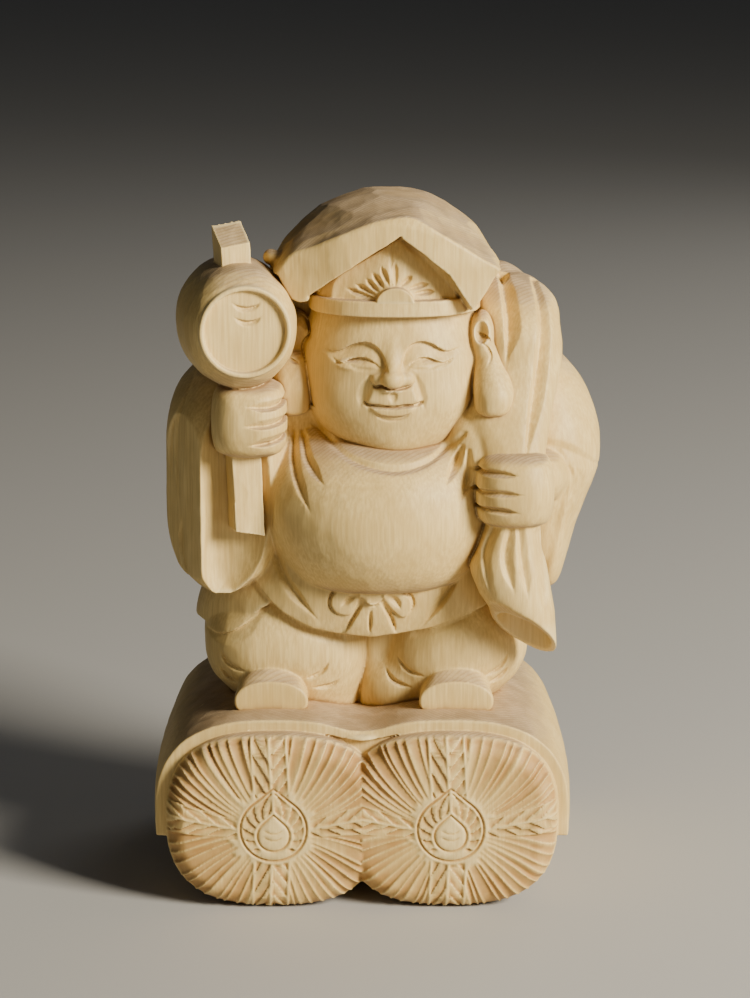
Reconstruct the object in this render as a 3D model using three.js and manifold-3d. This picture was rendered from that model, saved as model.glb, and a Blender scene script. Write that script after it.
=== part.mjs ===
// A carved wooden Daikoku: the smiling god of plenty stands on two straw rice bales under a cloth,
// a mallet in one fist and the neck of a sack in the other. Figure, bales and cloth are one block of wood.
// Millimetres, +Z up. The figure looks along -Y, and x grows to the right of someone who faces it.
import * as THREE from 'three';
import { LoftGeometry } from 'three/addons/geometries/LoftGeometry.js';
import { mergeVertices } from 'three/addons/utils/BufferGeometryUtils.js';
import Module from 'manifold-3d';

// Driving sizes
const BALE_LENGTH = 84;          // front to back
const BALE_END_WIDTH = 54;       // across one bale near its ends
const BALE_BELLY_WIDTH = 59;     // across one bale at its middle
const BALE_HEIGHT = 46;          // from the table to the top of a bale's end
const BALE_SWELL = 1;            // how far a bale's middle rises above its ends
const BALE_SPACING = 45;         // between the centre lines of the bales
const BALE_END_RADIUS = 5;       // rounding where a bale's side turns into its end
const CLOTH_THICKNESS = 2.7;
const CLOTH_SETBACK = 6;         // from the end of a bale to the edge of the cloth
const CLOTH_HEM = 18;            // height of the cloth's side hems above the table
const CLOTH_DIP = 6;             // how far the cloth sags between the two bales
const STRAW_STROKES = 28;        // gouge strokes round each front end of a bale
const STRAW_WIDTH = 2;           // of one stroke at the rim of the bale
const STRAW_DEPTH = 0.9;
const STRAW_MARGIN = 3;          // from the ends of the strokes to the side of the bale
const JEWEL_RADIUS = 8.4;        // boss in the middle of each front bale end
const JEWEL_RELIEF = 0.9;
const JEWEL_DROP = 1.2;          // how far the boss sits below the middle of the bale
const GEM_DROP = 0.6;            // how far the jewel sits below the middle of its boss
const FIGURE_HEIGHT = 131.3;     // from the cloth to the top of the hood

// The figure is drawn 131.3 parts high, with z = 0 where it stands on the cloth.
const PART = FIGURE_HEIGHT / 131.3;
const STAND = BALE_HEIGHT + CLOTH_THICKNESS;
const ON_CLOTH = new THREE.Matrix4().makeScale(PART, PART, PART).setPosition(0, 0, STAND);
const ON_TABLE = new THREE.Matrix4();

const wasm = await Module();
wasm.setup();

// A closed three.js geometry, put in its place, as a solid that can be joined and cut.
function solid(geometry, place = ON_CLOTH) {
  const bare = geometry.index ? geometry.toNonIndexed() : geometry.clone();
  for (const name of Object.keys(bare.attributes)) {
    if (name !== 'position') bare.deleteAttribute(name);
  }
  bare.applyMatrix4(place);
  const merged = mergeVertices(bare, 1e-4);
  return new wasm.Manifold(new wasm.Mesh({
    numProp: 3,
    vertProperties: new Float32Array(merged.attributes.position.array),
    triVerts: new Uint32Array(merged.index.array),
  }));
}

const join = (...solids) => solids.flat().reduce((a, b) => a.add(b));

// The values of a table's columns at step t from 0 to 1, on a smooth curve through its rows.
function along(rows, t) {
  const span = t * (rows.length - 1);
  const i = Math.min(rows.length - 2, Math.floor(span));
  const f = span - i;
  const row = (k) => rows[Math.max(0, Math.min(rows.length - 1, k))];
  return row(i).map((_, c) => {
    const [p0, p1, p2, p3] = [row(i - 1)[c], row(i)[c], row(i + 1)[c], row(i + 2)[c]];
    const bend = 2 * p0 - 5 * p1 + 4 * p2 - p3;
    return 0.5 * (2 * p1 + (p2 - p0) * f + bend * f * f + (3 * p1 - p0 - 3 * p2 + p3) * f * f * f);
  });
}

// A power that keeps the value's sign.
const eased = (value, power) => Math.sign(value) * Math.abs(value) ** power;

// Points round an oval. It is squarer where the squareness is above 2, and pointed below 2.
function oval(halfWidth, halfHeight, squareness, sides) {
  return Array.from({ length: sides }, (_, k) => {
    const angle = (k / sides) * 2 * Math.PI;
    const [c, s] = [Math.cos(angle), Math.sin(angle)];
    const power = 2 / squareness;
    return [Math.max(0.3, halfWidth) * eased(c, power), Math.max(0.3, halfHeight) * eased(s, power)];
  });
}

function loft(sections, place) {
  return solid(new LoftGeometry(sections, { capStart: true, capEnd: true }), place);
}

// A form of level rings, each row [height, x, y, half width, half depth, squareness].
function stacked(rows, { sides = 12, steps = rows.length } = {}) {
  return loft(Array.from({ length: steps + 1 }, (_, i) => {
    const [z, x, y, a, b, n] = along(rows, i / steps);
    return oval(a, b, n, sides).map(([u, v]) => new THREE.Vector3(x + u, y + v, z));
  }));
}

// A form of upright rings from front to back, each row [y, x, z, half width, half height, squareness].
function drawn(rows, { sides = 14, steps = rows.length, place = ON_CLOTH } = {}) {
  return loft(Array.from({ length: steps + 1 }, (_, i) => {
    const [y, x, z, a, b, n] = along(rows, i / steps);
    return oval(a, b, n, sides).map(([u, v]) => new THREE.Vector3(x - u, y, z + v));
  }), place);
}

// A place in the figure, with turns in degrees about x, y and z.
function placed([x, y, z], [turnX = 0, turnY = 0, turnZ = 0] = []) {
  const turns = [turnX, turnY, turnZ].map(THREE.MathUtils.degToRad);
  return new THREE.Matrix4().makeRotationFromEuler(new THREE.Euler(...turns, 'ZYX')).setPosition(x, y, z);
}

function egg(centre, [rx, ry, rz], { turn, sides = 14 } = {}) {
  const geometry = new THREE.SphereGeometry(1, sides, Math.round(sides * 0.5));
  geometry.rotateX(Math.PI / 2);
  geometry.scale(rx, ry, rz);
  geometry.applyMatrix4(placed(centre, turn));
  return solid(geometry);
}

// An outline [x, z] as seen from the front, filled from y = near to y = far.
function plate(outline, near, far, place = ON_CLOTH) {
  const shape = new THREE.Shape(outline.map(([x, z]) => new THREE.Vector2(x, z)));
  const geometry = new THREE.ExtrudeGeometry(shape, { depth: far - near, bevelEnabled: false });
  geometry.rotateX(Math.PI / 2);
  geometry.translate(0, far, 0);
  return solid(geometry, place);
}

function block([x0, x1], [y0, y1], [z0, z1], place = ON_CLOTH) {
  return plate([[x0, z0], [x1, z0], [x1, z1], [x0, z1]], y0, y1, place);
}

const IN_FRONT = 10 * (BALE_LENGTH + FIGURE_HEIGHT);

// A ray from the front finds where a solid's skin lies behind the point (x, z).
function skinOf(body) {
  const { vertProperties, triVerts } = body.getMesh();
  const geometry = new THREE.BufferGeometry();
  geometry.setAttribute('position', new THREE.BufferAttribute(vertProperties, 3));
  geometry.setIndex(new THREE.BufferAttribute(triVerts, 1));
  const skin = new THREE.Mesh(geometry, new THREE.MeshBasicMaterial({ side: THREE.DoubleSide }));
  skin.updateMatrixWorld();
  return (x, z) => {
    const ray = new THREE.Raycaster(new THREE.Vector3(x, -IN_FRONT, z), new THREE.Vector3(0, 1, 0));
    const hit = ray.intersectObject(skin)[0];
    return hit ? hit.point.y : null;
  };
}

// A gouge stroke with a V section, pressed into the skin along points [x, z] seen from the front.
// It is shallow at both ends and deepest at its middle.
function stroke(skin, points, width, depth, { steps = 2, place = ON_CLOTH, ends } = {}) {
  const size = place === ON_CLOTH ? PART : 1;
  const path = Array.from({ length: steps + 1 }, (_, i) => {
    const [x, z] = along(points, i / steps);
    const at = new THREE.Vector3(x, 0, z).applyMatrix4(place);
    const y = skin(at.x, at.z);
    return y === null ? null : at.setY(y);
  }).filter((at) => at);
  if (path.length < 2) return [];
  const last = path.length - 1;
  const up = new THREE.Vector3(0, -1, 0);
  return [loft(path.map((at, i) => {
    const swell = ends ? ends[i] : 0.3 + 0.7 * Math.sin((Math.PI * i) / last);
    const ahead = new THREE.Vector3().subVectors(path[Math.min(last, i + 1)], path[Math.max(0, i - 1)]);
    const side = ahead.cross(up).normalize().multiplyScalar(width * size * swell);
    const mouth = at.clone().addScaledVector(up, depth * size * swell);
    const bottom = at.clone().addScaledVector(up, -depth * size * swell);
    return [bottom, mouth.clone().sub(side), mouth.clone().add(side)];
  }), ON_TABLE)];
}

// Rice bales

// One bale, or with a skin added the cloth over it. The barrel is rounded into its flat ends.
function bale(x, skin, halfLength, endRound) {
  const turns = endRound > 0 ? [0, 0.5] : [0];
  const inset = (t) => endRound * (1 - Math.sin((t * Math.PI) / 2));
  const ends = turns.map((t) => [halfLength - endRound * (1 - Math.cos((t * Math.PI) / 2)), inset(t)]);
  const half = [...ends, ...[0.6].map((share) => [halfLength * share, 0])];
  const stations = [...half.map(([y, i]) => [-y, i]), [0, 0], ...half.reverse()];
  const rows = stations.map(([y, inward]) => {
    const belly = 1 - (2 * y / BALE_LENGTH) ** 2;
    const width = BALE_END_WIDTH + (BALE_BELLY_WIDTH - BALE_END_WIDTH) * belly;
    const halfHeight = BALE_MIDDLE + BALE_SWELL * belly;
    return [y, x, BALE_MIDDLE, width / 2 + skin - inward, halfHeight + skin - inward, 2.75 - 0.4 * belly];
  });
  return drawn(rows, { sides: 24, steps: rows.length - 1, place: ON_TABLE });
}

const BALE_SIDES = [-BALE_SPACING / 2, BALE_SPACING / 2];
const BALE_MIDDLE = BALE_HEIGHT / 2;
const WIDE = BALE_SPACING + BALE_BELLY_WIDTH;

function bales() {
  const pair = BALE_SIDES.map((x) => bale(x, 0, BALE_LENGTH / 2, BALE_END_RADIUS));
  const table = block([-WIDE, WIDE], [-BALE_LENGTH, BALE_LENGTH], [-BALE_HEIGHT, 0], ON_TABLE);
  return join(pair).subtract(table);
}

// The cloth hangs over both bales, sags between them and is cut off at its hems.
function cloth() {
  const halfLength = BALE_LENGTH / 2 - CLOTH_SETBACK;
  const cover = BALE_SIDES.map((x) => bale(x, CLOTH_THICKNESS, halfLength, 0));
  const [left, right] = BALE_SIDES;
  const sag = Array.from({ length: 9 }, (_, i) => {
    const t = i / 8;
    return [left + (right - left) * t, STAND - CLOTH_DIP * Math.sin(Math.PI * t) ** 2];
  });
  const bridge = plate([[left, BALE_MIDDLE], [right, BALE_MIDDLE], ...sag.reverse()],
    -halfLength, halfLength, ON_TABLE);
  const below = block([-WIDE, WIDE], [-BALE_LENGTH, BALE_LENGTH], [-BALE_HEIGHT, CLOTH_HEM], ON_TABLE);
  return join(cover).subtract(below).add(bridge);
}

// A round outline with a pointed top, like a flaming jewel.
function jewelOutline(x, z, radius, sides = 16) {
  return Array.from({ length: sides }, (_, k) => {
    const angle = (k / sides) * 2 * Math.PI;
    const fromTop = Math.abs(angle - Math.PI / 2) / 0.7;
    const reach = radius * (1 + 0.24 * Math.max(0, 1 - fromTop) ** 2);
    return [x + reach * Math.cos(angle), z + reach * Math.sin(angle)];
  });
}

// Straw strokes fan out from the boss to the rim of each front bale end. They widen on the way.
function strawStrokes(body) {
  const skin = skinOf(body);
  const outward = BALE_END_WIDTH / 2 - STRAW_MARGIN;
  const inward = Math.min(outward, (BALE_SPACING - STRAW_MARGIN) / 2);
  const upward = BALE_MIDDLE - STRAW_MARGIN;
  const boss = JEWEL_RADIUS * 1.3;
  const cuts = [];
  for (const x of BALE_SIDES) {
    for (let k = 0; k < STRAW_STROKES; k++) {
      const angle = ((k + 0.5) / STRAW_STROKES) * 2 * Math.PI;
      const [c, s] = [Math.cos(angle), Math.sin(angle)];
      const sideways = c * x > 0 ? outward : inward;
      const rim = [x + sideways * eased(c, 0.8), BALE_MIDDLE + upward * eased(s, 0.8)];
      const fan = [[x + boss * c, BALE_MIDDLE + boss * s], rim];
      const growing = { steps: 1, place: ON_TABLE, ends: [0.5, 1] };
      cuts.push(...stroke(skin, fan, STRAW_WIDTH / 2, STRAW_DEPTH, growing));
    }
  }
  return join(cuts);
}

function jewels() {
  const end = -BALE_LENGTH / 2;
  return join(BALE_SIDES.map((x) => {
    const z = BALE_MIDDLE - JEWEL_DROP;
    const raised = (radius, low, relief, sides) => plate(jewelOutline(x, low, radius, sides),
      end - relief * JEWEL_RELIEF, end + JEWEL_RELIEF, ON_TABLE);
    const inside = plate(jewelOutline(x, z, JEWEL_RADIUS * 0.86), end - 2 * JEWEL_RELIEF,
      end - 0.2 * JEWEL_RELIEF, ON_TABLE);
    const gem = raised(JEWEL_RADIUS * 0.46, z - GEM_DROP, 1.3, 12);
    return raised(JEWEL_RADIUS, z, 1, 16).subtract(inside).add(gem);
  }));
}

// The figure, from the feet up

function legs() {
  const left = stacked([
    [-6, -17, 1, 11, 15, 2.3],
    [0, -18.5, 0, 16, 18, 2.4],
    [6, -19.7, -1, 19.8, 20.5, 2.4],
    [13, -20.3, -2, 21, 21.5, 2.4],
    [21, -20, -1.5, 20, 21, 2.3],
    [30, -17, 0, 17, 19, 2.2],
  ], { sides: 14 });
  const right = stacked([
    [-6, 20, 1, 11, 15, 2.3],
    [0, 21.5, 0, 15, 18, 2.4],
    [6, 23.4, -1, 18.4, 20.5, 2.4],
    [13, 24, -2, 19.3, 21.5, 2.4],
    [21, 23, -1.5, 18.5, 21, 2.3],
    [30, 18, 0, 17, 19, 2.2],
  ], { sides: 14 });
  const between = stacked([[-6, 3, 0, 6, 15, 3], [24, 3, 0, 6, 17, 3]], { steps: 1, sides: 12 });
  return join(left, right, between);
}

function shoe(x, width) {
  return drawn([
    [-27, x, 1, width * 0.9, 6.8, 2.4],
    [-25.4, x, 1.4, width, 8.8, 2.2],
    [-20, x, 2, width, 10.8, 2.1],
    [-12, x, 2, width * 0.9, 10, 2],
  ], { sides: 14, steps: 3 });
}

// The robe below the belly. Its front hem hangs in a shallow bow, and its sides reach lower.
function skirt() {
  const robe = stacked([
    [14.5, -1, 1, 40.5, 23, 2.2],
    [18, -1, 1, 43, 24.5, 2.2],
    [26, 0, 0.5, 42.5, 26.5, 2.2],
    [36, 2, 0, 39, 26, 2.2],
    [48, 3, 0, 36, 24, 2.2],
  ], { sides: 18 });
  const hem = [[-26, 31], [-18.4, 26], [-8.2, 21.6], [0.7, 19.7], [9.7, 19.9], [19.9, 21.8], [30.1, 26]];
  const side = [[-26.5, 23], [-40, 14.8], [-50, 13.5]];
  const underHem = plate([[-50, 8], [50, 8], [50, 28], ...hem.reverse(), ...side], -60, -7);
  return robe.subtract(underHem);
}

function torso() {
  const trunk = stacked([
    [26, 2, 0, 36, 24, 2.2],
    [40, 3, 0, 37, 25, 2.2],
    [55, 4, 1, 37, 24, 2.2],
    [66, 5, 2, 36, 22, 2.2],
    [76, 6, 3, 29, 18, 2.1],
    [84, 7, 3, 18, 14, 2],
  ]);
  const belly = egg([4, -11, 51], [31.6, 26.5, 23], { sides: 20 });
  return join(trunk, belly);
}

function sash() {
  const loop = (x, lean) => egg([x, -26.5, 29.5], [5.2, 2.4, 2.6], { turn: [0, lean, 0], sides: 8 });
  const tail = (top, foot) => {
    return plate([[top - 1.4, 28.6], [foot - 2.2, 21], [foot + 1.8, 20.4], [top + 1.6, 28.6]], -27.8, -18);
  };
  const knot = egg([2.4, -27, 29], [3.6, 2.9, 2.4], { sides: 8 });
  return join(loop(-3.4, -14), loop(8.2, 14), knot, tail(0.4, -1.6), tail(4.4, 6));
}

// The head and what is on it

const FACE = 8.2;      // the middle of the face lies this far to the right of the bales' middle

function head() {
  const skull = stacked([
    [65.4, FACE, -13, 7, 7.5, 2.1],
    [67.6, FACE, -12.6, 13, 12.8, 2.1],
    [72.5, FACE, -11.6, 18.6, 17, 2.15],
    [80, FACE, -10.6, 21.4, 19.4, 2.2],
    [90, FACE, -10, 21.9, 19.6, 2.2],
    [104, FACE, -9, 20.5, 18, 2.1],
  ], { sides: 18, steps: 6 });
  const cheeks = [-1, 1].map((side) => egg([FACE + side * 10, -18.6, 81], [8.4, 8.6, 8], { sides: 10 }));
  const chin = egg([FACE, -21.6, 71.4], [7, 6, 4.6], { sides: 10 });
  const nose = stacked([
    [85.3, FACE, -29.5, 3.6, 2.6, 2],
    [86.6, FACE, -29.8, 5.2, 4.2, 2],
    [89.5, FACE, -29.6, 3.6, 3.6, 2],
    [95.5, FACE, -27.5, 2.2, 2.4, 2],
  ], { sides: 8, steps: 3 });
  const lip = egg([FACE, -28.6, 78.2], [4.6, 2.4, 1.7], { sides: 8 });
  return join(skull, cheeks, chin, nose, lip);
}

function faceStrokes(skin) {
  const cuts = [];
  for (const side of [-1, 1]) {
    const at = (x, z) => [FACE + side * x, z];
    cuts.push(...stroke(skin, [at(3.4, 90.4), at(7, 93), at(13, 91.4)], 0.8, 0.8, { steps: 3 }));
    cuts.push(...stroke(skin, [at(2.6, 91.8), at(5.6, 96), at(13.4, 94.8)], 0.9, 0.7, { steps: 3 }));
  }
  const smile = [[FACE - 6.8, 81.6], [FACE - 3, 80.1], [FACE + 3, 80.1], [FACE + 6.8, 81.6]];
  cuts.push(...stroke(skin, smile, 0.8, 0.9));
  return cuts;
}

function ear(side) {
  const x = FACE + side * 24.6;
  const shell = egg([x, -9, 92.5], [5.4, 6, 9], { turn: [0, side * 8, 0], sides: 10 });
  const lobe = egg([x + side * 0.6, -12, 80.2], [4.3, 4.8, 7], { sides: 8 });
  const bowl = egg([x - side * 0.6, -15.2, 93], [2.8, 2.4, 5.6], { sides: 6 });
  return shell.add(lobe).subtract(bowl);
}

// The soft hood has a thick rolled edge in a wide upturned V, over a cap with a band round the brow.
function hood() {
  const cushion = drawn([
    [-31.5, 7.5, 104.6, 28.5, 20.2, 1.6],
    [-29.5, 7.2, 105, 30.2, 22.2, 1.65],
    [-21, 6.5, 105.3, 31, 24.6, 1.75],
    [-9, 6, 105.3, 30.7, 26, 1.95],
    [4, 6, 105.3, 30, 26, 2],
    [16, 6.5, 105, 27, 24.5, 2],
    [25, 7, 104, 20, 19, 2],
    [30, 7, 102, 8, 8, 2],
  ], { sides: 22 });
  const lowerEdge = [[60, 119], [38, 116], [27.3, 102.5], [-13.4, 103.2], [-22, 109.5], [-60, 112]];
  const underBrow = plate([[-60, 40], [60, 40], ...lowerEdge], -60, -7);
  const rightEdge = [[28, 99], [27.3, 102.6], [24.1, 107.6], [15.2, 117], [9.6, 121.9]];
  const leftEdge = [[-10.7, 108.6], [-13.4, 106], [-14, 99]];
  const opening = plate([...rightEdge, ...leftEdge], -60, -21);
  const cap = stacked([
    [101, FACE, -9, 22, 18.6, 2.1],
    [107, FACE, -9, 22, 18.2, 2.1],
    [113, FACE, -9, 20.5, 17, 2.1],
    [123, FACE, -9, 14, 14, 2.1],
  ], { sides: 18, steps: 3 });
  const bandRings = [[102.6, FACE, -10, 22.1, 20.6, 2], [106.6, FACE, -9.8, 22.1, 20.4, 2]];
  const band = stacked(bandRings, { steps: 1, sides: 18 });
  return join(cushion.subtract(underBrow).subtract(opening), cap, band, risingSun());
}

function risingSun() {
  const radius = 4.6;
  const rim = Array.from({ length: 9 }, (_, i) => {
    const angle = (i / 8) * Math.PI;
    return [FACE + radius * Math.cos(angle), 106.4 + radius * Math.sin(angle)];
  });
  return plate(rim, -28.4, -20);
}

function sunRays(skin) {
  const rays = 9;
  return Array.from({ length: rays }, (_, i) => {
    const angle = Math.PI * (0.06 + 0.88 * (i / (rays - 1)));
    const reach = 10.5 + 2 * Math.sin(angle);
    const [c, s] = [Math.cos(angle), Math.sin(angle)];
    const ray = [[FACE + 5.4 * c, 106.8 + 5.4 * s], [FACE + reach * c, 106.8 + reach * s]];
    return stroke(skin, ray, 0.9, 0.8, { steps: 1, ends: [1, 0.3] });
  }).flat();
}

function collar() {
  const ring = egg([FACE, -9.5, 86], [24.4, 21.4, 22.6], { sides: 18 });
  return ring.subtract(block([-60, 60], [-60, 60], [77, 120]));
}

// The mallet and the arm that holds it

const MALLET = [-31.2, -21.2, 99.6];
const MALLET_DEGREES = 10;

function mallet() {
  const face = [[0, -14.3], [9.9, -14.3], [10.1, -15], [11.1, -15]];
  const profile = [...face, [14.4, -9], [15.7, 0], [14.4, 9], [11, 15], [0, 15]];
  const barrel = new THREE.LatheGeometry(profile.map(([r, y]) => new THREE.Vector2(r, y)), 18);
  barrel.applyMatrix4(placed(MALLET, [0, 0, MALLET_DEGREES]));
  const length = 76;
  const side = new THREE.Shape([[-4.6, 0], [4.6, 0], [4.6, length + 2], [-4.6, length - 2]]
    .map(([y, z]) => new THREE.Vector2(y, z)));
  const handle = new THREE.ExtrudeGeometry(side, { depth: 8.6, bevelEnabled: false });
  handle.translate(0, 0, -4.3);
  handle.applyMatrix4(new THREE.Matrix4().makeBasis(new THREE.Vector3(0, 1, 0), new THREE.Vector3(0, 0, 1),
    new THREE.Vector3(1, 0, 0)));
  handle.applyMatrix4(placed([-26.4, -24.6, 47], [-2.2, -4.6, MALLET_DEGREES]));
  return join(solid(barrel), solid(handle));
}

function fist(x, y, z, scale) {
  return stacked([
    [z - 9.6, x, y + 1, 7.2, 7.6, 2.7],
    [z - 7, x, y, 9.4 * scale, 9.6, 2.8],
    [z, x, y - 0.4, 10 * scale, 10.4, 2.8],
    [z + 6.6, x, y, 9.2 * scale, 9.6, 2.8],
    [z + 9.6, x, y + 1, 6.8, 7.2, 2.6],
  ]);
}

function rightArm() {
  const sleeve = stacked([
    [28, -36.5, -6, 7, 9, 2.2],
    [33, -36.5, -5, 11.5, 15, 2.3],
    [46, -36.5, -4, 14, 18.5, 2.4],
    [61, -36, -3, 14.7, 19.5, 2.4],
    [73, -35, -2, 15, 19, 2.4],
    [82, -33, -1, 13.5, 17, 2.3],
    [92, -25, 1, 12, 13, 2.2],
  ]);
  const outerLip = [[-37.8, 72], [-38.2, 60], [-38, 41], [-35.6, 34.5], [-32.5, 33.6]];
  const innerLip = [[-28, 37.5], [-24, 44.5], [-23, 60], [-23, 72]];
  const opening = plate([...outerLip, ...innerLip], -60, -14);
  const upperArm = egg([-20, 1, 78], [22, 17, 15]);
  return join(sleeve.subtract(opening), fist(-28.6, -22.8, 75.8, 0.95), upperArm);
}

// The sack and the arm that holds it

function leftArm() {
  const sleeve = stacked([
    [27.5, 47, -2, 4.5, 8, 2.2],
    [37, 46.6, -1, 8.6, 14, 2.2],
    [50, 46.8, 0, 12, 18, 2.2],
    [61, 46.6, 0, 15.2, 19, 2.2],
    [70, 46, 0, 15, 18, 2.2],
    [80, 43.5, 1, 13, 16, 2.2],
    [88, 39, 3, 11, 13, 2.2],
  ]);
  const forearm = egg([43, -15, 60], [13.5, 16, 10], { sides: 12 });
  return join(sleeve, forearm, fist(38.4, -27.4, 59.3, 1));
}

function sack() {
  const overShoulder = stacked([
    [66, 38, -25, 8.2, 6.5, 2.2],
    [72, 38.6, -23, 8.4, 7.6, 2.2],
    [80, 41.4, -18, 8, 9, 2.2],
    [89, 42.8, -13, 7.8, 11, 2.2],
    [97, 42.4, -8, 8, 13.5, 2.2],
    [104, 40, -3, 8.4, 13, 2.1],
    [109.5, 36, 1, 5, 8, 2],
  ]);
  const bag = egg([17, 15, 60], [32, 19, 37], { sides: 14 });
  const shoulder = egg([33, 7, 94], [15, 15, 18], { sides: 14 });
  return join(overShoulder, shoulder, bag, mouth());
}

// The open end of the sack hangs below the fist, cut slantwise and hollowed a little.
function mouth() {
  const tube = (walls, floor) => stacked([
    [floor, 38.5, -27, 10.8 - walls, 9.6 - walls, 2.2],
    [26, 38.3, -27, 10.8 - walls, 9.6 - walls, 2.2],
    [37, 37.9, -27, 10.2 - walls, 9 - walls, 2.2],
    [44, 38.3, -27, 8 - walls, 7.4 - walls, 2.2],
    [51, 38.5, -27, 6.6 - walls, 6.3 - walls, 2.2],
  ], { sides: 14 });
  const slant = new THREE.BoxGeometry(80, 80, 40);
  slant.translate(0, 0, -20);
  slant.applyMatrix4(placed([38.2, -27, 26.2], [-24, 42, 0]));
  const hollow = tube(2.2, 8).subtract(block([0, 80], [-60, 0], [34, 60]));
  return tube(0, 8).subtract(hollow).subtract(solid(slant));
}

// Gouge strokes for folds, fingers and flutes, as [[x, z] points, width, depth]
const FOLDS = [
  [[[-16, 69], [-14, 61], [-9, 56]], 1.1, 1.1],
  [[[-13, 70], [-10, 63], [-6, 59.5]], 1, 1],
  [[[27.5, 68], [25.5, 61], [22, 57]], 1.1, 1.1],
  [[[25, 70], [22.5, 64], [19, 61]], 1, 1],
  [[[-36, 16], [-34, 10.5], [-29, 7.5]], 1.1, 1],
  [[[-35, 11], [-33, 7], [-29.5, 4.6]], 1.1, 1],
  [[[-15, 8], [-10, 9], [-6.5, 13]], 1.1, 1],
  [[[-13, 3.4], [-8, 4.6], [-4, 8]], 1.1, 1],
  [[[7.4, 13.5], [10.5, 9], [15, 8]], 1.1, 1],
  [[[5.6, 10], [8, 5.5], [12.5, 3.6]], 1.1, 1],
  [[[32, 8], [36, 9.5], [38.5, 13]], 1.1, 1],
  [[[33.5, 4], [37, 5.5], [39.5, 8.6]], 1.1, 1],
  [[[-22, 40], [-17, 33.5], [-10.5, 27.5]], 1.1, 1],
  [[[26, 38], [22, 32], [16, 27]], 1.1, 1],
  [[[35.5, 108], [38.5, 95], [36.6, 80]], 1.1, 1.1],
  [[[45, 104], [46, 92], [42, 72]], 1.1, 1.1],
  [[[35.4, 47], [33.4, 41], [32.6, 35]], 1, 1],
  [[[38.6, 48], [38.4, 40], [38.6, 28]], 1, 1],
  [[[41.6, 47], [43.4, 40], [44, 27]], 1, 1],
  [[[-46.5, 72], [-47.4, 56], [-45.5, 40]], 1.2, 1.2],
  [[[52, 72], [57, 66], [58.5, 56]], 1.2, 1.2],
  [[[49.6, 64], [54, 55], [54.5, 42]], 1.2, 1.1],
  ...[69.8, 75.2, 80.8].map((z) => [[[-28, z], [-23, z + 0.2], [-18.6, z + 0.6]], 0.9, 1]),
  ...[54.8, 59.3, 64].map((z) => [[[29.2, z], [34, z], [39.6, z + 0.4]], 0.9, 1]),
];

const CHIP_VOLUME = 1;        // cubic millimetres: smaller chips that two strokes cut loose fall off

function build() {
  const lower = join(legs(), shoe(-23, 9.6), shoe(23.6, 10.4), skirt(), torso(), sash());
  const upper = join(collar(), head(), ear(-1), ear(1), hood());
  const body = join(lower, upper, rightArm(), mallet(), leftArm(), sack());
  const skin = skinOf(body);
  const cuts = [...FOLDS.flatMap(([points, width, depth]) => stroke(skin, points, width, depth)),
    ...faceStrokes(skin), ...sunRays(skin)];
  const base = bales();
  const carvedBase = base.subtract(strawStrokes(base)).add(jewels()).add(cloth());
  const whole = join(carvedBase, body.subtract(join(cuts)));
  return join(whole.decompose().filter((piece) => piece.volume() > CHIP_VOLUME));
}

// The finished block, centred on its own footprint

const { vertProperties, triVerts } = build().getMesh();
const carving = new THREE.BufferGeometry();
carving.setAttribute('position', new THREE.BufferAttribute(new Float32Array(vertProperties), 3));
carving.setIndex(new THREE.BufferAttribute(new Uint32Array(triVerts), 1));
carving.computeBoundingBox();
const centre = carving.boundingBox.getCenter(new THREE.Vector3());
carving.translate(-centre.x, -centre.y, -carving.boundingBox.min.z);
carving.computeVertexNormals();

const wood = new THREE.MeshStandardMaterial({ color: 0xe6cd9c, roughness: 0.55, metalness: 0 });
const daikoku = new THREE.Mesh(carving, wood);
daikoku.name = 'daikoku_figure';

const model = new THREE.Group();
model.add(daikoku);

export default model;
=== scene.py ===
import itertools
import math

import bpy
import numpy as np
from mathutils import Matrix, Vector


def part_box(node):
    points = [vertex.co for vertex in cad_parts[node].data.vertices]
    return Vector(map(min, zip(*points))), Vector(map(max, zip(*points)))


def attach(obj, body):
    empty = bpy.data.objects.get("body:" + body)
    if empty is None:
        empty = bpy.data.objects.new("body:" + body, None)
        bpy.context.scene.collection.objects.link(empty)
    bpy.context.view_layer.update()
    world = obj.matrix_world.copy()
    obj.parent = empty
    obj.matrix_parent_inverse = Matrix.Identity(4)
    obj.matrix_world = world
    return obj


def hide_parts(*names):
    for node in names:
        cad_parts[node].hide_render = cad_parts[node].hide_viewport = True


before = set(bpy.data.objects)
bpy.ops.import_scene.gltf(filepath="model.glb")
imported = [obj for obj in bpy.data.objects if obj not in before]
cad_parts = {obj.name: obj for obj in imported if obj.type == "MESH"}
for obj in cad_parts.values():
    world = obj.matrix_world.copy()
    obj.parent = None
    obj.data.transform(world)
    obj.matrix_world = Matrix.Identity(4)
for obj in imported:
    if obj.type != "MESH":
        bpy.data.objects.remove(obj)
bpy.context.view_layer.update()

import openvdb
from mathutils import Euler, Vector

# The block. Figure, bales and cloth are carved from one block of pale close-grained wood with upright grain.
# It is drawn in millimetres of the block at its first size, and then follows the block's real height.
low_corner, high_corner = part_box("daikoku_figure")
DRAWN_HEIGHT = 179.93
UNIT = (high_corner.z - low_corner.z) / DRAWN_HEIGHT
MIDDLE = np.array([3.709, -0.585, 0.0])  # where the frame's origin lies in the drawing
STAND = 48.7  # the top of the cloth, on which the figure stands
FAR = 5.0  # distances from the skin are kept up to this
REACH = 3.0  # how far outside a form its blend still works
BEYOND = 90  # farther out than any part of the block


def soft_min(a, b, blend):
    """The smaller of two distances, so that the two forms run into each other over the blend."""
    if blend <= 0:
        return np.minimum(a, b)
    overlap = np.maximum(blend - np.abs(a - b), 0) / blend
    return np.minimum(a, b) - overlap * overlap * blend * 0.25


def smooth(t):
    t = np.clip(t, 0, 1)
    return t * t * (3 - 2 * t)


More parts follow.
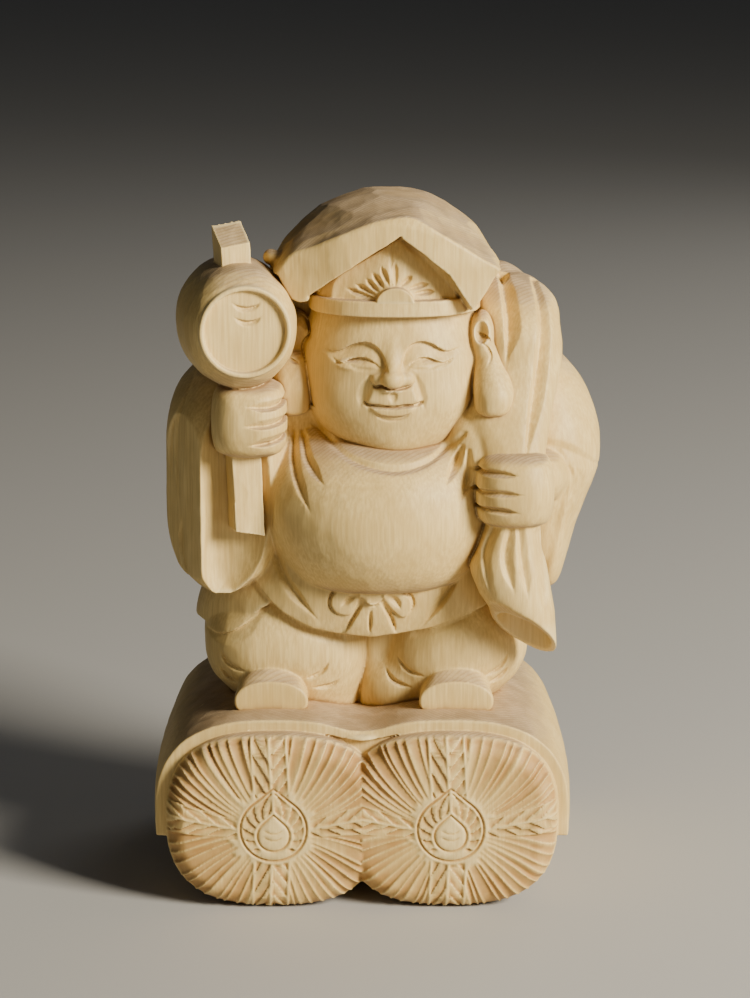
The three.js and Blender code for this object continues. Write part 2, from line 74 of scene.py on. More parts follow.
def corner(a, b, radius):
    """Two skins that meet in an outward corner, rounded by the radius."""
    a, b = a + radius, b + radius
    return np.minimum(np.maximum(a, b), 0) + np.hypot(np.maximum(a, 0), np.maximum(b, 0)) - radius


def curve_through(rows, count, closed=False):
    """Points on a smooth curve through the rows of a table."""
    rows = np.array(rows, float)
    if closed:
        padded = np.vstack([rows[-1:], rows, rows[:2]])
        spans = len(rows)
    else:
        padded = np.vstack([rows[:1], rows, rows[-1:]])
        spans = len(rows) - 1
    t = np.linspace(0, spans, count, endpoint=not closed)
    i = np.minimum(t.astype(int), spans - 1)
    f = (t - i)[:, None]
    p0, p1, p2, p3 = (padded[i + k] for k in range(4))
    bend = 2 * p0 - 5 * p1 + 4 * p2 - p3
    return 0.5 * (2 * p1 + (p2 - p0) * f + bend * f * f + (3 * p1 - p0 - 3 * p2 + p3) * f ** 3)


SQUARENESS = 2.2  # a little squarer than an ellipse, which has 2


def rings(rows, axis=2, rim=1.0):
    """A form through rings along an axis. A row is a ring's place, middle, half sizes and own squareness."""
    rows = [row if len(row) == 6 else (*row, SQUARENESS) for row in rows]
    least_half_size, least_squareness, least_slope = 0.3, 1.2, 0.02
    fine = curve_through(rows, 12 * len(rows))
    across = [k for k in range(3) if k != axis]
    low, high = [0, 0, 0], [0, 0, 0]
    low[axis], high[axis] = fine[0, 0], fine[-1, 0]
    for k, c in enumerate(across):
        low[c] = (fine[:, 1 + k] - fine[:, 3 + k]).min()
        high[c] = (fine[:, 1 + k] + fine[:, 3 + k]).max()

    def depth(*place):
        along = place[axis]
        c1, c2, h1, h2, n = (np.interp(along, fine[:, 0], fine[:, k]).astype(np.float32) for k in range(1, 6))
        u = np.abs(place[across[0]] - c1) / np.maximum(h1, least_half_size)
        v = np.abs(place[across[1]] - c2) / np.maximum(h2, least_half_size)
        n = np.maximum(n, least_squareness)
        f = (u ** n + v ** n) ** (1 / n)
        step = float(place[0].ravel()[1] - place[0].ravel()[0])
        gx, gy, gz = np.gradient(f, step)
        side = (f - 1) / np.maximum(np.sqrt(gx * gx + gy * gy + gz * gz), least_slope)
        end = np.maximum(low[axis] - along, along - high[axis])
        return corner(np.clip(side, -FAR, FAR), end, rim)
    return low, high, depth


def turning(turn):
    return Euler([math.radians(a) for a in turn], "XYZ").to_matrix()


def turned(middle, turn, x, y, z):
    """Places as seen from a form that stands at the middle and is turned by degrees about x, y and z."""
    matrix = turning(turn)
    dx, dy, dz = x - middle[0], y - middle[1], z - middle[2]
    return [matrix[0][k] * dx + matrix[1][k] * dy + matrix[2][k] * dz for k in range(3)]


def egg(middle, radii, turn=(0, 0, 0)):
    """A rounded lump about a middle, with its three radii."""
    size = max(radii)

    def depth(x, y, z):
        u, v, w = turned(middle, turn, x, y, z)
        a, b, c = u / radii[0], v / radii[1], w / radii[2]
        k0 = np.sqrt(a * a + b * b + c * c)
        k1 = np.sqrt((a / radii[0]) ** 2 + (b / radii[1]) ** 2 + (c / radii[2]) ** 2)
        return np.clip(k0 * (k0 - 1) / np.maximum(k1, 1e-4), -FAR, FAR)
    if any(turn):
        return [m - size for m in middle], [m + size for m in middle], depth
    return [m - r for m, r in zip(middle, radii)], [m + r for m, r in zip(middle, radii)], depth


def outline_depth(points, u, v):
    """How far a place lies outside a closed outline. Negative inside."""
    nearest, inside = np.float32(1e9), np.zeros(np.broadcast(u, v).shape, bool)
    points = [tuple(p) for p in points]
    for (ax, ay), (bx, by) in zip(points, points[1:] + points[:1]):
        ex, ey = bx - ax, by - ay
        t = np.clip(((u - ax) * ex + (v - ay) * ey) / max(ex * ex + ey * ey, 1e-9), 0, 1)
        nearest = np.minimum(nearest, (u - ax - ex * t) ** 2 + (v - ay - ey * t) ** 2)
        inside ^= ((ay > v) != (by > v)) & (u < ex * (v - ay) / (ey or 1.0) + ax)
    return np.where(inside, -1, 1) * np.sqrt(nearest)


def plate(points, near, far, rim=0.3):
    """An outline of x and z as seen from the front, filled from y = near to y = far."""
    low, high = np.min(points, 0), np.max(points, 0)

    def depth(x, y, z):
        side = np.clip(outline_depth(points, x, z), -FAR, FAR)
        return corner(side, np.maximum(near - y, y - far), rim)
    return [low[0], near, low[1]], [high[0], far, high[1]], depth


def slab(bottom, top, near=-BEYOND, far=BEYOND, rim=0.3):
    """All that lies between two heights."""
    return plate([(-BEYOND, bottom), (BEYOND, bottom), (BEYOND, top), (-BEYOND, top)], near, far, rim)


def less(form, cutter, rim=0.3):
    low, high, depth = form
    return low, high, lambda x, y, z: -soft_min(-depth(x, y, z), cutter[2](x, y, z), rim)


def within(form, limit, rim=0.3):
    low, high, depth = form
    return low, high, lambda x, y, z: corner(depth(x, y, z), limit[2](x, y, z), rim)


def joined(first, second, blend):
    """Two forms that run into each other, before they meet the rest of the block."""
    low = [min(a, b) for a, b in zip(first[0], second[0])]
    high = [max(a, b) for a, b in zip(first[1], second[1])]
    return low, high, lambda x, y, z: soft_min(first[2](x, y, z), second[2](x, y, z), blend)


def grown(form, by):
    low, high, depth = form
    return [v - by for v in low], [v + by for v in high], lambda x, y, z: depth(x, y, z) - by


def shaved(form, flats, rim=0.0):
    """The form with flats cut on it, each a point that the flat passes through and the way it faces."""
    low, high, depth = form

    def cut(x, y, z):
        d = depth(x, y, z)
        for point, facing in flats:
            n = np.array(facing) / np.linalg.norm(facing)
            d = corner(d, (x - point[0]) * n[0] + (y - point[1]) * n[1] + (z - point[2]) * n[2], rim)
        return d
    return low, high, cut


STROKE_END = 0.4  # the share of its length over which a gouge stroke runs out at each end
THINNEST_STROKE = 0.25


class Block:
    """Wood as a grid of distances from its carved skin in millimetres, negative inside."""

    def __init__(self, low, high, step, lift=0.0):
        self.step, self.lift = step, lift
        self.lines = [np.arange(a, b + step, step, dtype=np.float32) for a, b in zip(low, high)]
        self.skin = np.full([len(line) for line in self.lines], FAR, np.float32)

    def window(self, low, high):
        cut = tuple(slice(int(np.searchsorted(line, a)), max(int(np.searchsorted(line, b)), 1))
                    for line, a, b in zip(self.lines, low, high))
        x, y, z = (line[c] for line, c in zip(self.lines, cut))
        return cut, x[:, None, None], y[None, :, None], z[None, None, :]

    def add(self, form, blend=0.3):
        cut, x, y, z = self.window([v - REACH for v in form[0]], [v + REACH for v in form[1]])
        self.skin[cut] = soft_min(self.skin[cut], form[2](x, y, z), blend)

    def remove(self, form, blend=0.3):
        cut, x, y, z = self.window([v - REACH for v in form[0]], [v + REACH for v in form[1]])
        self.skin[cut] = -soft_min(-self.skin[cut], form[2](x, y, z), blend)

    def sheet(self, points, margin, between):
        """The part of the block behind a drawing of x and z."""
        low, high = np.min(points, 0) - margin, np.max(points, 0) + margin
        cut, x, _, z = self.window((low[0], between[0], low[1]), (high[0], between[1], high[1]))
        return cut, x, z

    def stroke(self, points, width, depth, lean=0.0, ends=(0.2, 0.2), between=(-45, 0), bowl=False):
        """A gouge stroke along a path of x and z. With a lean, its wall on one side is steeper."""
        cut, u, v = self.sheet(points, width * 1.5, between)
        path = curve_through(points, 5 * len(points) - 4)
        run = np.concatenate([[0], np.cumsum(np.linalg.norm(np.diff(path, axis=0), axis=1))])
        run /= run[-1]
        shape = np.broadcast(u, v).shape
        nearest, beside, along = (np.full(shape, k, np.float32) for k in (1e9, 0, 0))
        for a, b, ta, tb in zip(path, path[1:], run, run[1:]):
            e = b - a
            t = np.clip(((u - a[0]) * e[0] + (v - a[1]) * e[1]) / max(e @ e, 1e-9), 0, 1)
            d2 = (u - a[0] - e[0] * t) ** 2 + (v - a[1] - e[1] * t) ** 2
            closer = d2 < nearest
            nearest = np.where(closer, d2, nearest)
            beside = np.where(closer, np.sign(e[0] * (v - a[1]) - e[1] * (u - a[0])), beside)
            along = np.where(closer, ta + (tb - ta) * t, along)
        swell = np.minimum(smooth(ends[0] + (1 - ends[0]) * along / STROKE_END),
                           smooth(ends[1] + (1 - ends[1]) * (1 - along) / STROKE_END))
        half = 0.5 * width * np.maximum(swell, THINNEST_STROKE) * (1 + lean * beside)
        q = np.sqrt(nearest) / half
        profile = np.maximum(0, 1 - q * q) if bowl else np.maximum(0, 1 - q)
        self.skin[cut] += (depth * swell * profile).astype(np.float32)

    def area(self, points, height, edge=0.8, between=(-45, 0), rounded=0):
        """Raises what lies inside an outline of x and z, or sinks it where the height is negative."""
        if rounded:
            points = curve_through(points, rounded, closed=True)
        cut, u, v = self.sheet(points, edge + 1, between)
        inside = smooth(0.5 - outline_depth(points, u, v) / edge)
        self.skin[cut] -= (height * inside).astype(np.float32)

    def at(self, places):
        """The distance from the skin at places given in the whole block's millimetres."""
        low = np.array([line[0] for line in self.lines]) + [0, 0, self.lift]
        spots = (places - low) / self.step
        top = np.array(self.skin.shape) - 2
        outside = ((spots < 0) | (spots > top + 1)).any(1)
        i = np.clip(spots.astype(int), 0, top)
        f = np.clip(spots - i, 0, 1)
        total = np.zeros(len(places))
        for a, b, c in itertools.product((0, 1), repeat=3):
            weight = np.abs(1 - a - f[:, 0]) * np.abs(1 - b - f[:, 1]) * np.abs(1 - c - f[:, 2])
            total += weight * self.skin[i[:, 0] + a, i[:, 1] + b, i[:, 2] + c]
        return np.where(outside, FAR, total)

    def object(self, name):
        """The skin as a mesh of squares, in metres, in the frame of the whole block."""
        grid = openvdb.FloatGrid(FAR)
        grid.copyFromArray(np.clip(self.skin, -FAR, FAR))
        places, squares = grid.convertToQuads()
        places = places * self.step + [line[0] for line in self.lines] + [0, 0, self.lift]
        mesh = bpy.data.meshes.new(name)
        mesh.vertices.add(len(places))
        mesh.vertices.foreach_set("co", ((places - MIDDLE) * UNIT).astype(np.float32).ravel())
        mesh.loops.add(squares.size)
        mesh.loops.foreach_set("vertex_index", squares.astype(np.int32).ravel())
        mesh.polygons.add(len(squares))
        mesh.polygons.foreach_set("loop_start", np.arange(0, squares.size, 4, dtype=np.int32))
        mesh.update(calc_edges=True)
        piece = bpy.data.objects.new(name, mesh)
        bpy.context.scene.collection.objects.link(piece)
        return piece


wood = bpy.data.materials.new("carved_wood")
wood.use_nodes = True


# The two rice bales. Each is a straw barrel on its side, a little fatter in the middle and rounded into its
# ends. They are planed flat below, where the whole block stands on the table.
BALE_SPACING = 45.0
BALE_HEIGHT = 46.0
BALE_LENGTH = 84.0
BALE_END_WIDTH = 54.0
BALE_BELLY_WIDTH = 59.0
BALE_END_RADIUS = 5.0
BALE_SQUARENESS, BELLY_ROUNDING = 2.75, 0.4
bale_middles = (-BALE_SPACING / 2, BALE_SPACING / 2)
bales = Block((-58, -46, -3), (58, 44, 52), 0.3)


def barrel(x, proud, half_length, end_radius):
    """A bale, or what lies on it and stands proud of it."""
    rows = []
    for y in np.linspace(-half_length, half_length, 13):
        belly = 1 - (2 * y / BALE_LENGTH) ** 2
        half_width = (BALE_END_WIDTH + (BALE_BELLY_WIDTH - BALE_END_WIDTH) * belly) / 2 + proud
        squareness = BALE_SQUARENESS - BELLY_ROUNDING * belly
        rows.append([y, x, BALE_HEIGHT / 2, half_width, BALE_HEIGHT / 2 + belly + proud, squareness])
    return rings(rows, axis=1, rim=end_radius)


for x in bale_middles:
    bales.add(barrel(x, 0, BALE_LENGTH / 2, BALE_END_RADIUS), 0.2)


# The cloth lies over both bales, with its front and back edges set back from their ends. It sags a little
# between them, and its side hems are cut off above the table.
CLOTH_THICKNESS = 2.7
CLOTH_HALF_LENGTH = 36.0
CLOTH_HEM = 18.0
CLOTH_DIP = 2.5
DIP_HALF_WIDTH = 15.0
EDGE_THICKNESS, EDGE_THICKENING = 2.3, 0.05
EDGE_UNDERCUT = 0.7
covers = [barrel(x, CLOTH_THICKNESS, CLOTH_HALF_LENGTH, 0.4) for x in bale_middles]
sag = [(x, STAND - CLOTH_DIP * (0.5 + 0.5 * math.cos(math.pi * x / DIP_HALF_WIDTH)))
       for x in np.linspace(-DIP_HALF_WIDTH, DIP_HALF_WIDTH, 31)]
dip = [(-DIP_HALF_WIDTH, 23), *sag, (DIP_HALF_WIDTH, 23)]
bridge = plate(dip, -CLOTH_HALF_LENGTH, CLOTH_HALF_LENGTH, 0.4)
edge_below = [(x, z - EDGE_THICKNESS - EDGE_THICKENING * abs(x)) for x, z in sag[5:-5]]
under_bridge = [(-10, 20), *edge_below, (10, 20)]
cloth = joined(within(joined(*covers, 6), slab(CLOTH_HEM, 90, rim=0.4), 0.5), bridge, 0.5)
for near, far in ((-60, EDGE_UNDERCUT - CLOTH_HALF_LENGTH), (CLOTH_HALF_LENGTH - EDGE_UNDERCUT, 60)):
    cloth = less(cloth, plate(under_bridge, near, far, 0.4))
bales.add(cloth, 0.2)
bales.remove(slab(-20, 0, rim=0), 0.6)


# The feet and the wide trousers. Two puffed legs stand close together, and the flat-fronted shoes look out
# below. Like the rest of the figure they are part of the block, so they grow out of the cloth.
figure = Block((-54, -44, -9), (64, 38, 128), 0.32, lift=STAND)
left_leg = rings([
    (-9, -14, 1, 14, 15, 2.4), (0, -16.8, 0, 18.6, 18.6, 2.6), (6, -18.9, -1, 21.3, 20.8, 2.7),
    (13, -19.4, -2, 22.1, 21.5, 2.7), (21, -19.2, -1.5, 21.6, 21, 2.5), (30, -17, 0, 17, 19)])
right_leg = rings([
    (-9, 15, 1, 15, 15, 2.3), (0, 18.9, 0, 18.4, 18.6, 2.4), (6, 21.9, -1, 20.2, 20.8, 2.3),
    (13, 23.7, -2, 19.8, 21.5, 2.3), (21, 23, -1.5, 18.3, 21), (30, 18, 0, 17, 19)])
between_legs = rings([(-9, 3.2, 0, 5, 14, 3), (10, 4.4, 0, 6.4, 14.6, 3), (26, 6.4, 0, 8, 15.4, 3)])
figure.add(joined(joined(right_leg, between_legs, 1.5), egg((8.5, -11, 2.5), (8.5, 8, 8)), 3))
figure.add(left_leg, 0.2)
for fold in ([(-37.1, 14.7), (-34.6, 10.5), (-29.5, 8.5)], [(-37.2, 9.5), (-34.7, 6.2), (-30.9, 4.9)],
             [(-15.2, 7.0), (-10.8, 8.5), (-8.3, 12.1)], [(-13.9, 4.3), (-8.3, 4.6), (-5.1, 7.0)],
             [(8.7, 12.4), (11.8, 8.8), (16.6, 7.4)], [(5.6, 9.2), (8.1, 5.6), (13.4, 3.9)],
             [(30.4, 6.9), (35.7, 9.5), (38.2, 14.1)], [(31.4, 4.9), (35.1, 5.9), (38.6, 9.5)]):
    figure.stroke(fold, 1.6, 1.0, ends=(0.1, 0.1))
shoe_rows = [(-27, 2.4, 0.97, 5.2, 2.1), (-26.2, 2.4, 1, 5.6, 2.1), (-24.4, 2.2, 1, 7.2, 2),
             (-21.4, 2, 0.97, 9.4, 1.9), (-17, 1.6, 0.94, 11.2, 1.9), (-12, 1.4, 0.88, 11.4, 1.9)]
for x, width in ((-23.4, 9.5), (24.2, 9.6)):
    shoe = [(y, x, z, width * share, height, squareness) for y, z, share, height, squareness in shoe_rows]
    figure.add(rings(shoe, axis=1, rim=0.2), 0.2)


# The robe below the belly. Its side hangs lower at the back, and its front is an apron with a bowed hem.
# The sash is tied in a small bow under the belly, with two loops and two short ends.
robe_rows = [(14.5, -1, 1, 40.5, 23), (18, -1, 1, 43, 24.5), (26, 0, 0.5, 42.5, 26.3),
             (36, 2, 0, 39, 26), (48, 3, 0, 36, 24)]
side_hem = [(-60, 19.6), (-43, 19.2), (-37.4, 18.6), (-33.3, 20.0), (-29.2, 22.8), (-25.6, 25.8), (-20, 29),
            (0, 31), (26, 30), (34, 26.5), (42, 24.5), (60, 22)]
apron_hem = [(-30.5, 36), (-25, 29.6), (-19.2, 24.6), (-10.6, 20.7), (2.4, 19.3), (14.2, 20.5), (21.6, 22.4),
             (31, 25.6)]
under_side = plate([(60, -10), (-60, -10), *side_hem], -60, 8, rim=0.2)
figure.add(less(rings(robe_rows, rim=0.8), under_side), 0.2)
apron_shape = plate([*curve_through(apron_hem, 40), (40, 30), (40, 60), (-34, 60)], -60, -6)
figure.add(within(grown(rings(robe_rows), 0.7), apron_shape), 0.2)
side_groove = [(-42, 18.4), (-40, 18.0), (-37.2, 17.8), (-33, 19.2), (-29, 22.0), (-25.2, 25.0)]
apron_groove = [(-29, 33.2), (-24.6, 28.6), (-19, 23.6), (-10.6, 19.8), (2.4, 18.5), (14.2, 19.6),
                (21.6, 21.5), (29, 24.2)]
figure.stroke(side_groove, 3.2, 1.0, lean=-0.8)
figure.stroke(apron_groove, 3.2, 0.9, lean=-0.7, between=(-45, -20))
figure.stroke([(-23.4, 44), (-19.4, 34), (-11.2, 23.6)], 3.2, 1.7, lean=-0.2, ends=(0.5, 0.1))
figure.stroke([(26.4, 39.5), (21.6, 30), (14.8, 21.0)], 3.2, 2.1, lean=-0.3, ends=(0.5, 0.1))
left_loop = [(-0.4, 31.4), (-4.6, 32.6), (-7.7, 30.6), (-8.1, 27.8), (-6.2, 25.6), (-3.4, 25.4), (-1.4, 28)]
right_loop = [(5.4, 31.2), (8.8, 31.8), (12.2, 30.2), (12.9, 27.6), (11.2, 24.8), (9.0, 25.0), (6.6, 27.8)]
knot = [(-0.8, 31.6), (0.2, 29.2), (2.7, 27.9), (5.2, 29.2), (6.3, 31.6), (2.7, 33)]
sash_ends = [(0.6, 29), (4.6, 29), (6.6, 25), (8.6, 20), (2, 18.6), (-4.8, 20), (-1.8, 25)]
for loop in (left_loop, right_loop):
    figure.area(loop, 0.7, 0.9, rounded=40)
figure.area(knot, 1.5, 1.4, rounded=30)
figure.area(sash_ends, 0.6, 0.8)
for path, width, depth in (
        ([(-0.4, 31.6), (-4.6, 33.0), (-7.6, 31.0), (-8.3, 28.0), (-6.5, 25.6), (-3.5, 25.0)], 1.0, 1.1),
        ([(6.0, 31.0), (9.0, 31.6), (12.2, 30.4), (13.0, 27.8), (11.4, 24.3)], 1.0, 1.1),
        ([(-0.6, 31.6), (0.5, 29.2), (2.7, 28.0), (4.9, 29.2), (6.1, 31.4)], 1.0, 1.2),
        ([(0.3, 29.0), (-2.2, 24.6), (-4.6, 20.2)], 1.2, 1.2),
        ([(2.2, 27.6), (1.9, 20)], 1.2, 1.2),
        ([(4.9, 28.8), (7.4, 24.6), (8.6, 20)], 1.2, 1.2),
        ([(5.6, 29.0), (7.6, 26.2), (10.0, 24.6)], 1.1, 1.1),
        ([(-1.4, 30.6), (-3.4, 29.6), (-5.4, 27.6)], 2.0, 1.2),
        ([(6.5, 30.6), (8.6, 29.2), (9.8, 27.0)], 2.0, 1.2)):
    figure.stroke(path, width, depth)


# The belly and the chest. The robe is drawn tight over a big round belly and pulled into folds at both
# shoulders. Its neckline runs in a round under the chin.
trunk = rings([(26, 2, 0, 35, 24), (40, 3, 0, 36, 24.5), (55, 4, 1, 36.5, 24),
               (66, 5, 2, 35.5, 22), (76, 6, 3, 28.5, 18, 2.1), (84, 7, 3, 18, 14, 2)])
figure.add(trunk, 0.3)
upper_trunk = rings([(40, 3, 0, 35, 24), (55, 4, 1, 35.5, 23.5), (66, 5, 2, 34.5, 21.5),
                     (76, 6, 3, 28.5, 18, 2.1), (84, 7, 3, 18, 14, 2)], rim=5)
paunch = rings([(29.5, 4, -10.5, 18, 15, 2), (32, 4, -11, 23, 19.6, 2), (38, 4.6, -11.4, 27.2, 24.4, 2.0),
                (46, 4.4, -11.4, 30.8, 27, 2.05), (54, 4, -11, 32, 27.2, 2.1), (62, 4.4, -9.6, 30, 25.6, 2.1),
                (70, 5, -6, 25, 21, 2.1)], rim=4)
figure.add(joined(upper_trunk, paunch, 5), 0.3)
figure.add(egg((27.2, -14.2, 64.5), (8.6, 13.4, 17)), 3)
figure.add(egg((29.6, -17.4, 66), (7, 11, 12)), 2.5)
figure.add(less(egg((8.2, -9.5, 86), (24.4, 21.6, 22.8)), slab(78, 140)), 1.6)
neckline = [(-15.6, 75.6), (-12.4, 72.4), (-7.7, 69), (-1.3, 65.8), (7.9, 64.0), (16.5, 65.4), (22.6, 69.1),
            (25.8, 72)]
figure.stroke(neckline, 2.0, 0.9, lean=0.5, ends=(0.8, 0.8))
for path in ([(-17.7, 72), (-16.8, 63), (-12.6, 53.4)], [(-15.3, 71), (-13.6, 65.6), (-9.0, 60.2)],
             [(26.7, 68.4), (26.4, 62), (24.4, 55)], [(25.2, 69.4), (23.2, 64.8), (20.8, 60.2)]):
    figure.stroke(path, 2.8, 1.4, lean=0.2, ends=(0.5, 0.05))


# The right arm. The sleeve hangs in a deep bag from the raised forearm, and its opening is a hollow with a
# thick lip. The fist comes out of it and holds the mallet upright.
figure.add(egg((-20, 1, 78), (22, 17, 15)), 1.5)
sleeve = rings([(30.2, -35.6, -5.5, 5.4, 19.6, 2.3), (32.6, -35.4, -5.2, 9.4, 20.6, 2.5),
                (36.6, -35.0, -4.8, 13.2, 21.6, 2.9), (46, -34.6, -4, 15.8, 22.4, 3.4),
                (61, -34.2, -3, 16.4, 23.4, 3.4), (73, -34.2, -2, 16.0, 22.4, 3),
                (82, -33, -1, 14, 18, 2.3), (92, -25, 1, 12, 13)], rim=1.0)
turned_away = shaved(sleeve, [((-41.0, -25.2, 50), (-0.8, -0.6, 0.0))], 0.3)
figure.add(within(turned_away, slab(0, 120, near=-25.4, far=60)), 0.5)
lip = [(-37.5, 83), (-39.8, 77), (-40.7, 71), (-41.0, 63), (-41.0, 48), (-41.0, 37), (-40.4, 33), (-38.8, 28),
       (-31.6, 28), (-28.2, 33.0), (-24.6, 39.4), (-22.8, 47.5), (-22.0, 60), (-22.2, 83)]
SLEEVE_FRONT, SLEEVE_HOLLOW, LIP_SLOPE = -25.6, 3.8, 7.0


def scoop(x, y, z):
    """The hollow of the sleeve's opening, which deepens roundly from its lip."""
    side = outline_depth(lip, x, z)
    floor_y = SLEEVE_FRONT + SLEEVE_HOLLOW * (1 - (1 - np.clip(-side / LIP_SLOPE, 0, 1)) ** 2)
    return np.clip(np.maximum(side, (y - floor_y) * 0.75), -FAR, FAR)


figure.remove(([-42, -40, 25], [-21, -18, 83], scoop), 0.2)
for path in ([(-42.6, 86), (-46.4, 75), (-47.2, 64.5), (-46.8, 52)], [(-46.0, 79), (-48.6, 70), (-48.8, 58)],
             [(-45.8, 50), (-46.4, 42), (-44.2, 32)]):
    figure.stroke(path, 3.0, 0.7, lean=0.4, ends=(0.1, 0.1), between=(-45, 16))


def fist(x, y, z, size):
    """A closed hand, to be cut into fingers."""
    return rings([(z - 9.4, x, y + 1, 7.4 * size, 7.8, 2.5), (z - 6.5, x, y, 9.4 * size, 9.5, 2.6),
                  (z, x, y - 0.4, 10 * size, 10.3, 2.6), (z + 6.5, x, y, 9.2 * size, 9.5, 2.6),
                  (z + 9.4, x, y + 1, 7, 7.4, 2.5)], rim=1.5)


def bar(foot, size, turn, rim=0.5):
    """A squared bar that stands on its foot."""
    middle = [a + b for a, b in zip(foot, turning(turn) @ Vector((0, 0, size[2] / 2)))]
    half_box = np.abs(np.array(turning(turn))) @ np.array(size) / 2

    def depth(x, y, z):
        u, v, w = (np.abs(p) - s / 2 for p, s in zip(turned(middle, turn, x, y, z), size))
        return corner(corner(u, v, rim), w, rim)
    return middle - half_box, middle + half_box, depth


mallet = Block((-52, -44, 44), (-10, 4, 130), 0.26, lift=STAND)
handle = bar((-29.3, -23.6, 45), (7.7, 8.2, 81), (-2.0, -1.9, 18), 0.2)
handle_ends = [((-32.2, -20.0, 123.4), (0.03, -0.58, 1)), ((-30.4, -28, 47.3), (-0.2, -0.1, -1))]
mallet.add(shaved(handle, handle_ends), 0.2)
mallet.add(fist(-28.4, -22.8, 76.0, 0.97), 0.3)
for path in ([(-29.0, 80.6), (-23.5, 80.0), (-18, 81.1)], [(-29.6, 75.6), (-23.6, 75.6), (-18, 76.7)],
             [(-28.6, 70.6), (-23.6, 71), (-18, 72.3)]):
    mallet.stroke(path, 2.6, 1.6, lean=0.35, ends=(0.1, 0.6))


# The mallet of plenty. Its head is a small barrel that lies front to back, with a rim round each flat end and
# two shallow curved cuts on the front end. Its handle is squared and goes right through.
mallet_middle, mallet_turn = (-31.2, -21.2, 99.9), (0, 0, 10)
BARREL_TALLER = 0.09  # behind its front rim the barrel is a little taller than wide
barrel_side = [(11.6, -14.1), (12.6, -12.6), (13.9, -8.4), (14.7, -1), (14.9, 5), (14.2, 12), (11.5, 16.5)]
mallet_outline = [(-1, -13.8), (10.0, -13.8), (10.3, -15.1), (10.6, -15.3), (11.1, -15.3), (11.4, -15.0),
                  *curve_through(barrel_side, 16), (-1, 16.5)]


def mallet_depth(x, y, z):
    u, v, w = turned(mallet_middle, mallet_turn, x, y, z)
    w = w * (1 - BARREL_TALLER * smooth((v + 15) / 6))
    return np.clip(outline_depth(mallet_outline, np.sqrt(u * u + w * w), v), -FAR, FAR)


mallet.add(([m - 19 for m in mallet_middle], [m + 19 for m in mallet_middle], mallet_depth), 0.15)
for path in ([(-32.2, 107.6), (-30.6, 106.2), (-28.2, 105.6), (-25.9, 106.2), (-24.4, 107.8)],
             [(-31.8, 103.9), (-29.9, 102.6), (-27.9, 102.1), (-25.9, 102.6), (-24.2, 104.2)]):
    mallet.stroke(path, 1.6, 1.0, lean=-0.3, ends=(0.05, 0.05), between=(-45, -28))


# The left arm. The sleeve hangs behind the sack, and the fist holds the sack's neck in front of the chest.
figure.add(rings([(27.5, 48.6, -2, 1.6, 6, 2.1), (31, 47.8, -2, 4.4, 10), (37.5, 47, -1, 7.0, 14),
                  (45, 46.8, 0, 9.4, 16.5), (52.6, 46.7, 0, 12.3, 18.3), (60, 46.6, 0, 15.0, 19),
                  (68, 46.2, 0, 15.6, 18.4), (76, 44.8, 1, 15.0, 17), (83.4, 42.4, 2, 13.6, 15),
                  (89, 39, 3, 11.6, 13)], rim=2), 0.5)
sleeve_hollow = [(42, 67), (50, 66), (53, 62), (52.5, 54), (50.5, 46), (49, 38), (47.5, 33), (44, 40),
                 (42, 50)]
figure.area(sleeve_hollow, -1.2, 3, between=(-45, 4))
figure.add(egg((42, -13, 60), (11.5, 14, 9.4)), 1.0)
figure.stroke([(42, 68.6), (47, 68.0), (51.6, 66.8), (56.4, 64.0), (61.6, 60.2)], 5.0, 0.8, lean=-0.3,
              ends=(0.7, 0.3), between=(-45, 8))
for path in ([(51.4, 64.0), (54.0, 58), (52.6, 48), (50.0, 39)],
             [(54.2, 62.6), (56.2, 57), (54.6, 49), (51.6, 41)]):
    figure.stroke(path, 2.2, 0.5, lean=0.3, ends=(0.4, 0.1), between=(-45, -2))


# The sack. Its neck comes over the left shoulder and through the fist, its open end hangs below, and the full
# bag lies on the back. Long gouge cuts show how the cloth is pulled together.
figure.add(egg((17, 15, 60), (32, 19, 37)), 2)
figure.add(egg((33, 7, 94), (15, 15, 18)), 2)
sack_neck = [(64, 38, -25, 8, 6.3, 2.1), (70, 37.2, -23.2, 9.6, 6.8), (75.4, 36.8, -20.8, 11.0, 7.0, 2.3),
             (82, 38, -16.6, 11.4, 8.8, 2.3), (89, 40.0, -12.4, 11, 10.6),
             (97, 39.6, -8, 11.2, 13.5), (104, 38, -3, 11.2, 13, 2.1), (109.5, 36, 1, 6.5, 8, 2)]
figure.add(rings(sack_neck, rim=2), 0.6)


def sack_mouth(x, y, z):
    """The slanting cut across the sack's open end."""
    return (x - 41) * 0.41 + (y + 27) * 0.5 + (z - 21.6) * 0.76


tube = rings([(8, 42.0, -26.4, 8.2, 8.2), (17, 41.5, -26.6, 8.2, 8.4),
              (26.6, 40.8, -27, 8.3, 8.8), (32, 38.8, -27, 9.3, 9.4),
              (38.5, 37.2, -27, 9.9, 9.4), (44, 37.5, -27, 8.2, 8), (52, 38.5, -27, 6.6, 6.3)])
bore = rings([(4, 42.0, -26.4, 6.9, 6.9), (18, 41.5, -26.7, 6.8, 7.0),
              (25, 40.9, -27, 6.4, 6.8), (31, 39.8, -27, 4, 4, 2)], rim=3)


def open_tube(x, y, z):
    wall = -soft_min(-tube[2](x, y, z), bore[2](x, y, z), 0.4)
    return -soft_min(-wall, sack_mouth(x, y, z), 0.4)


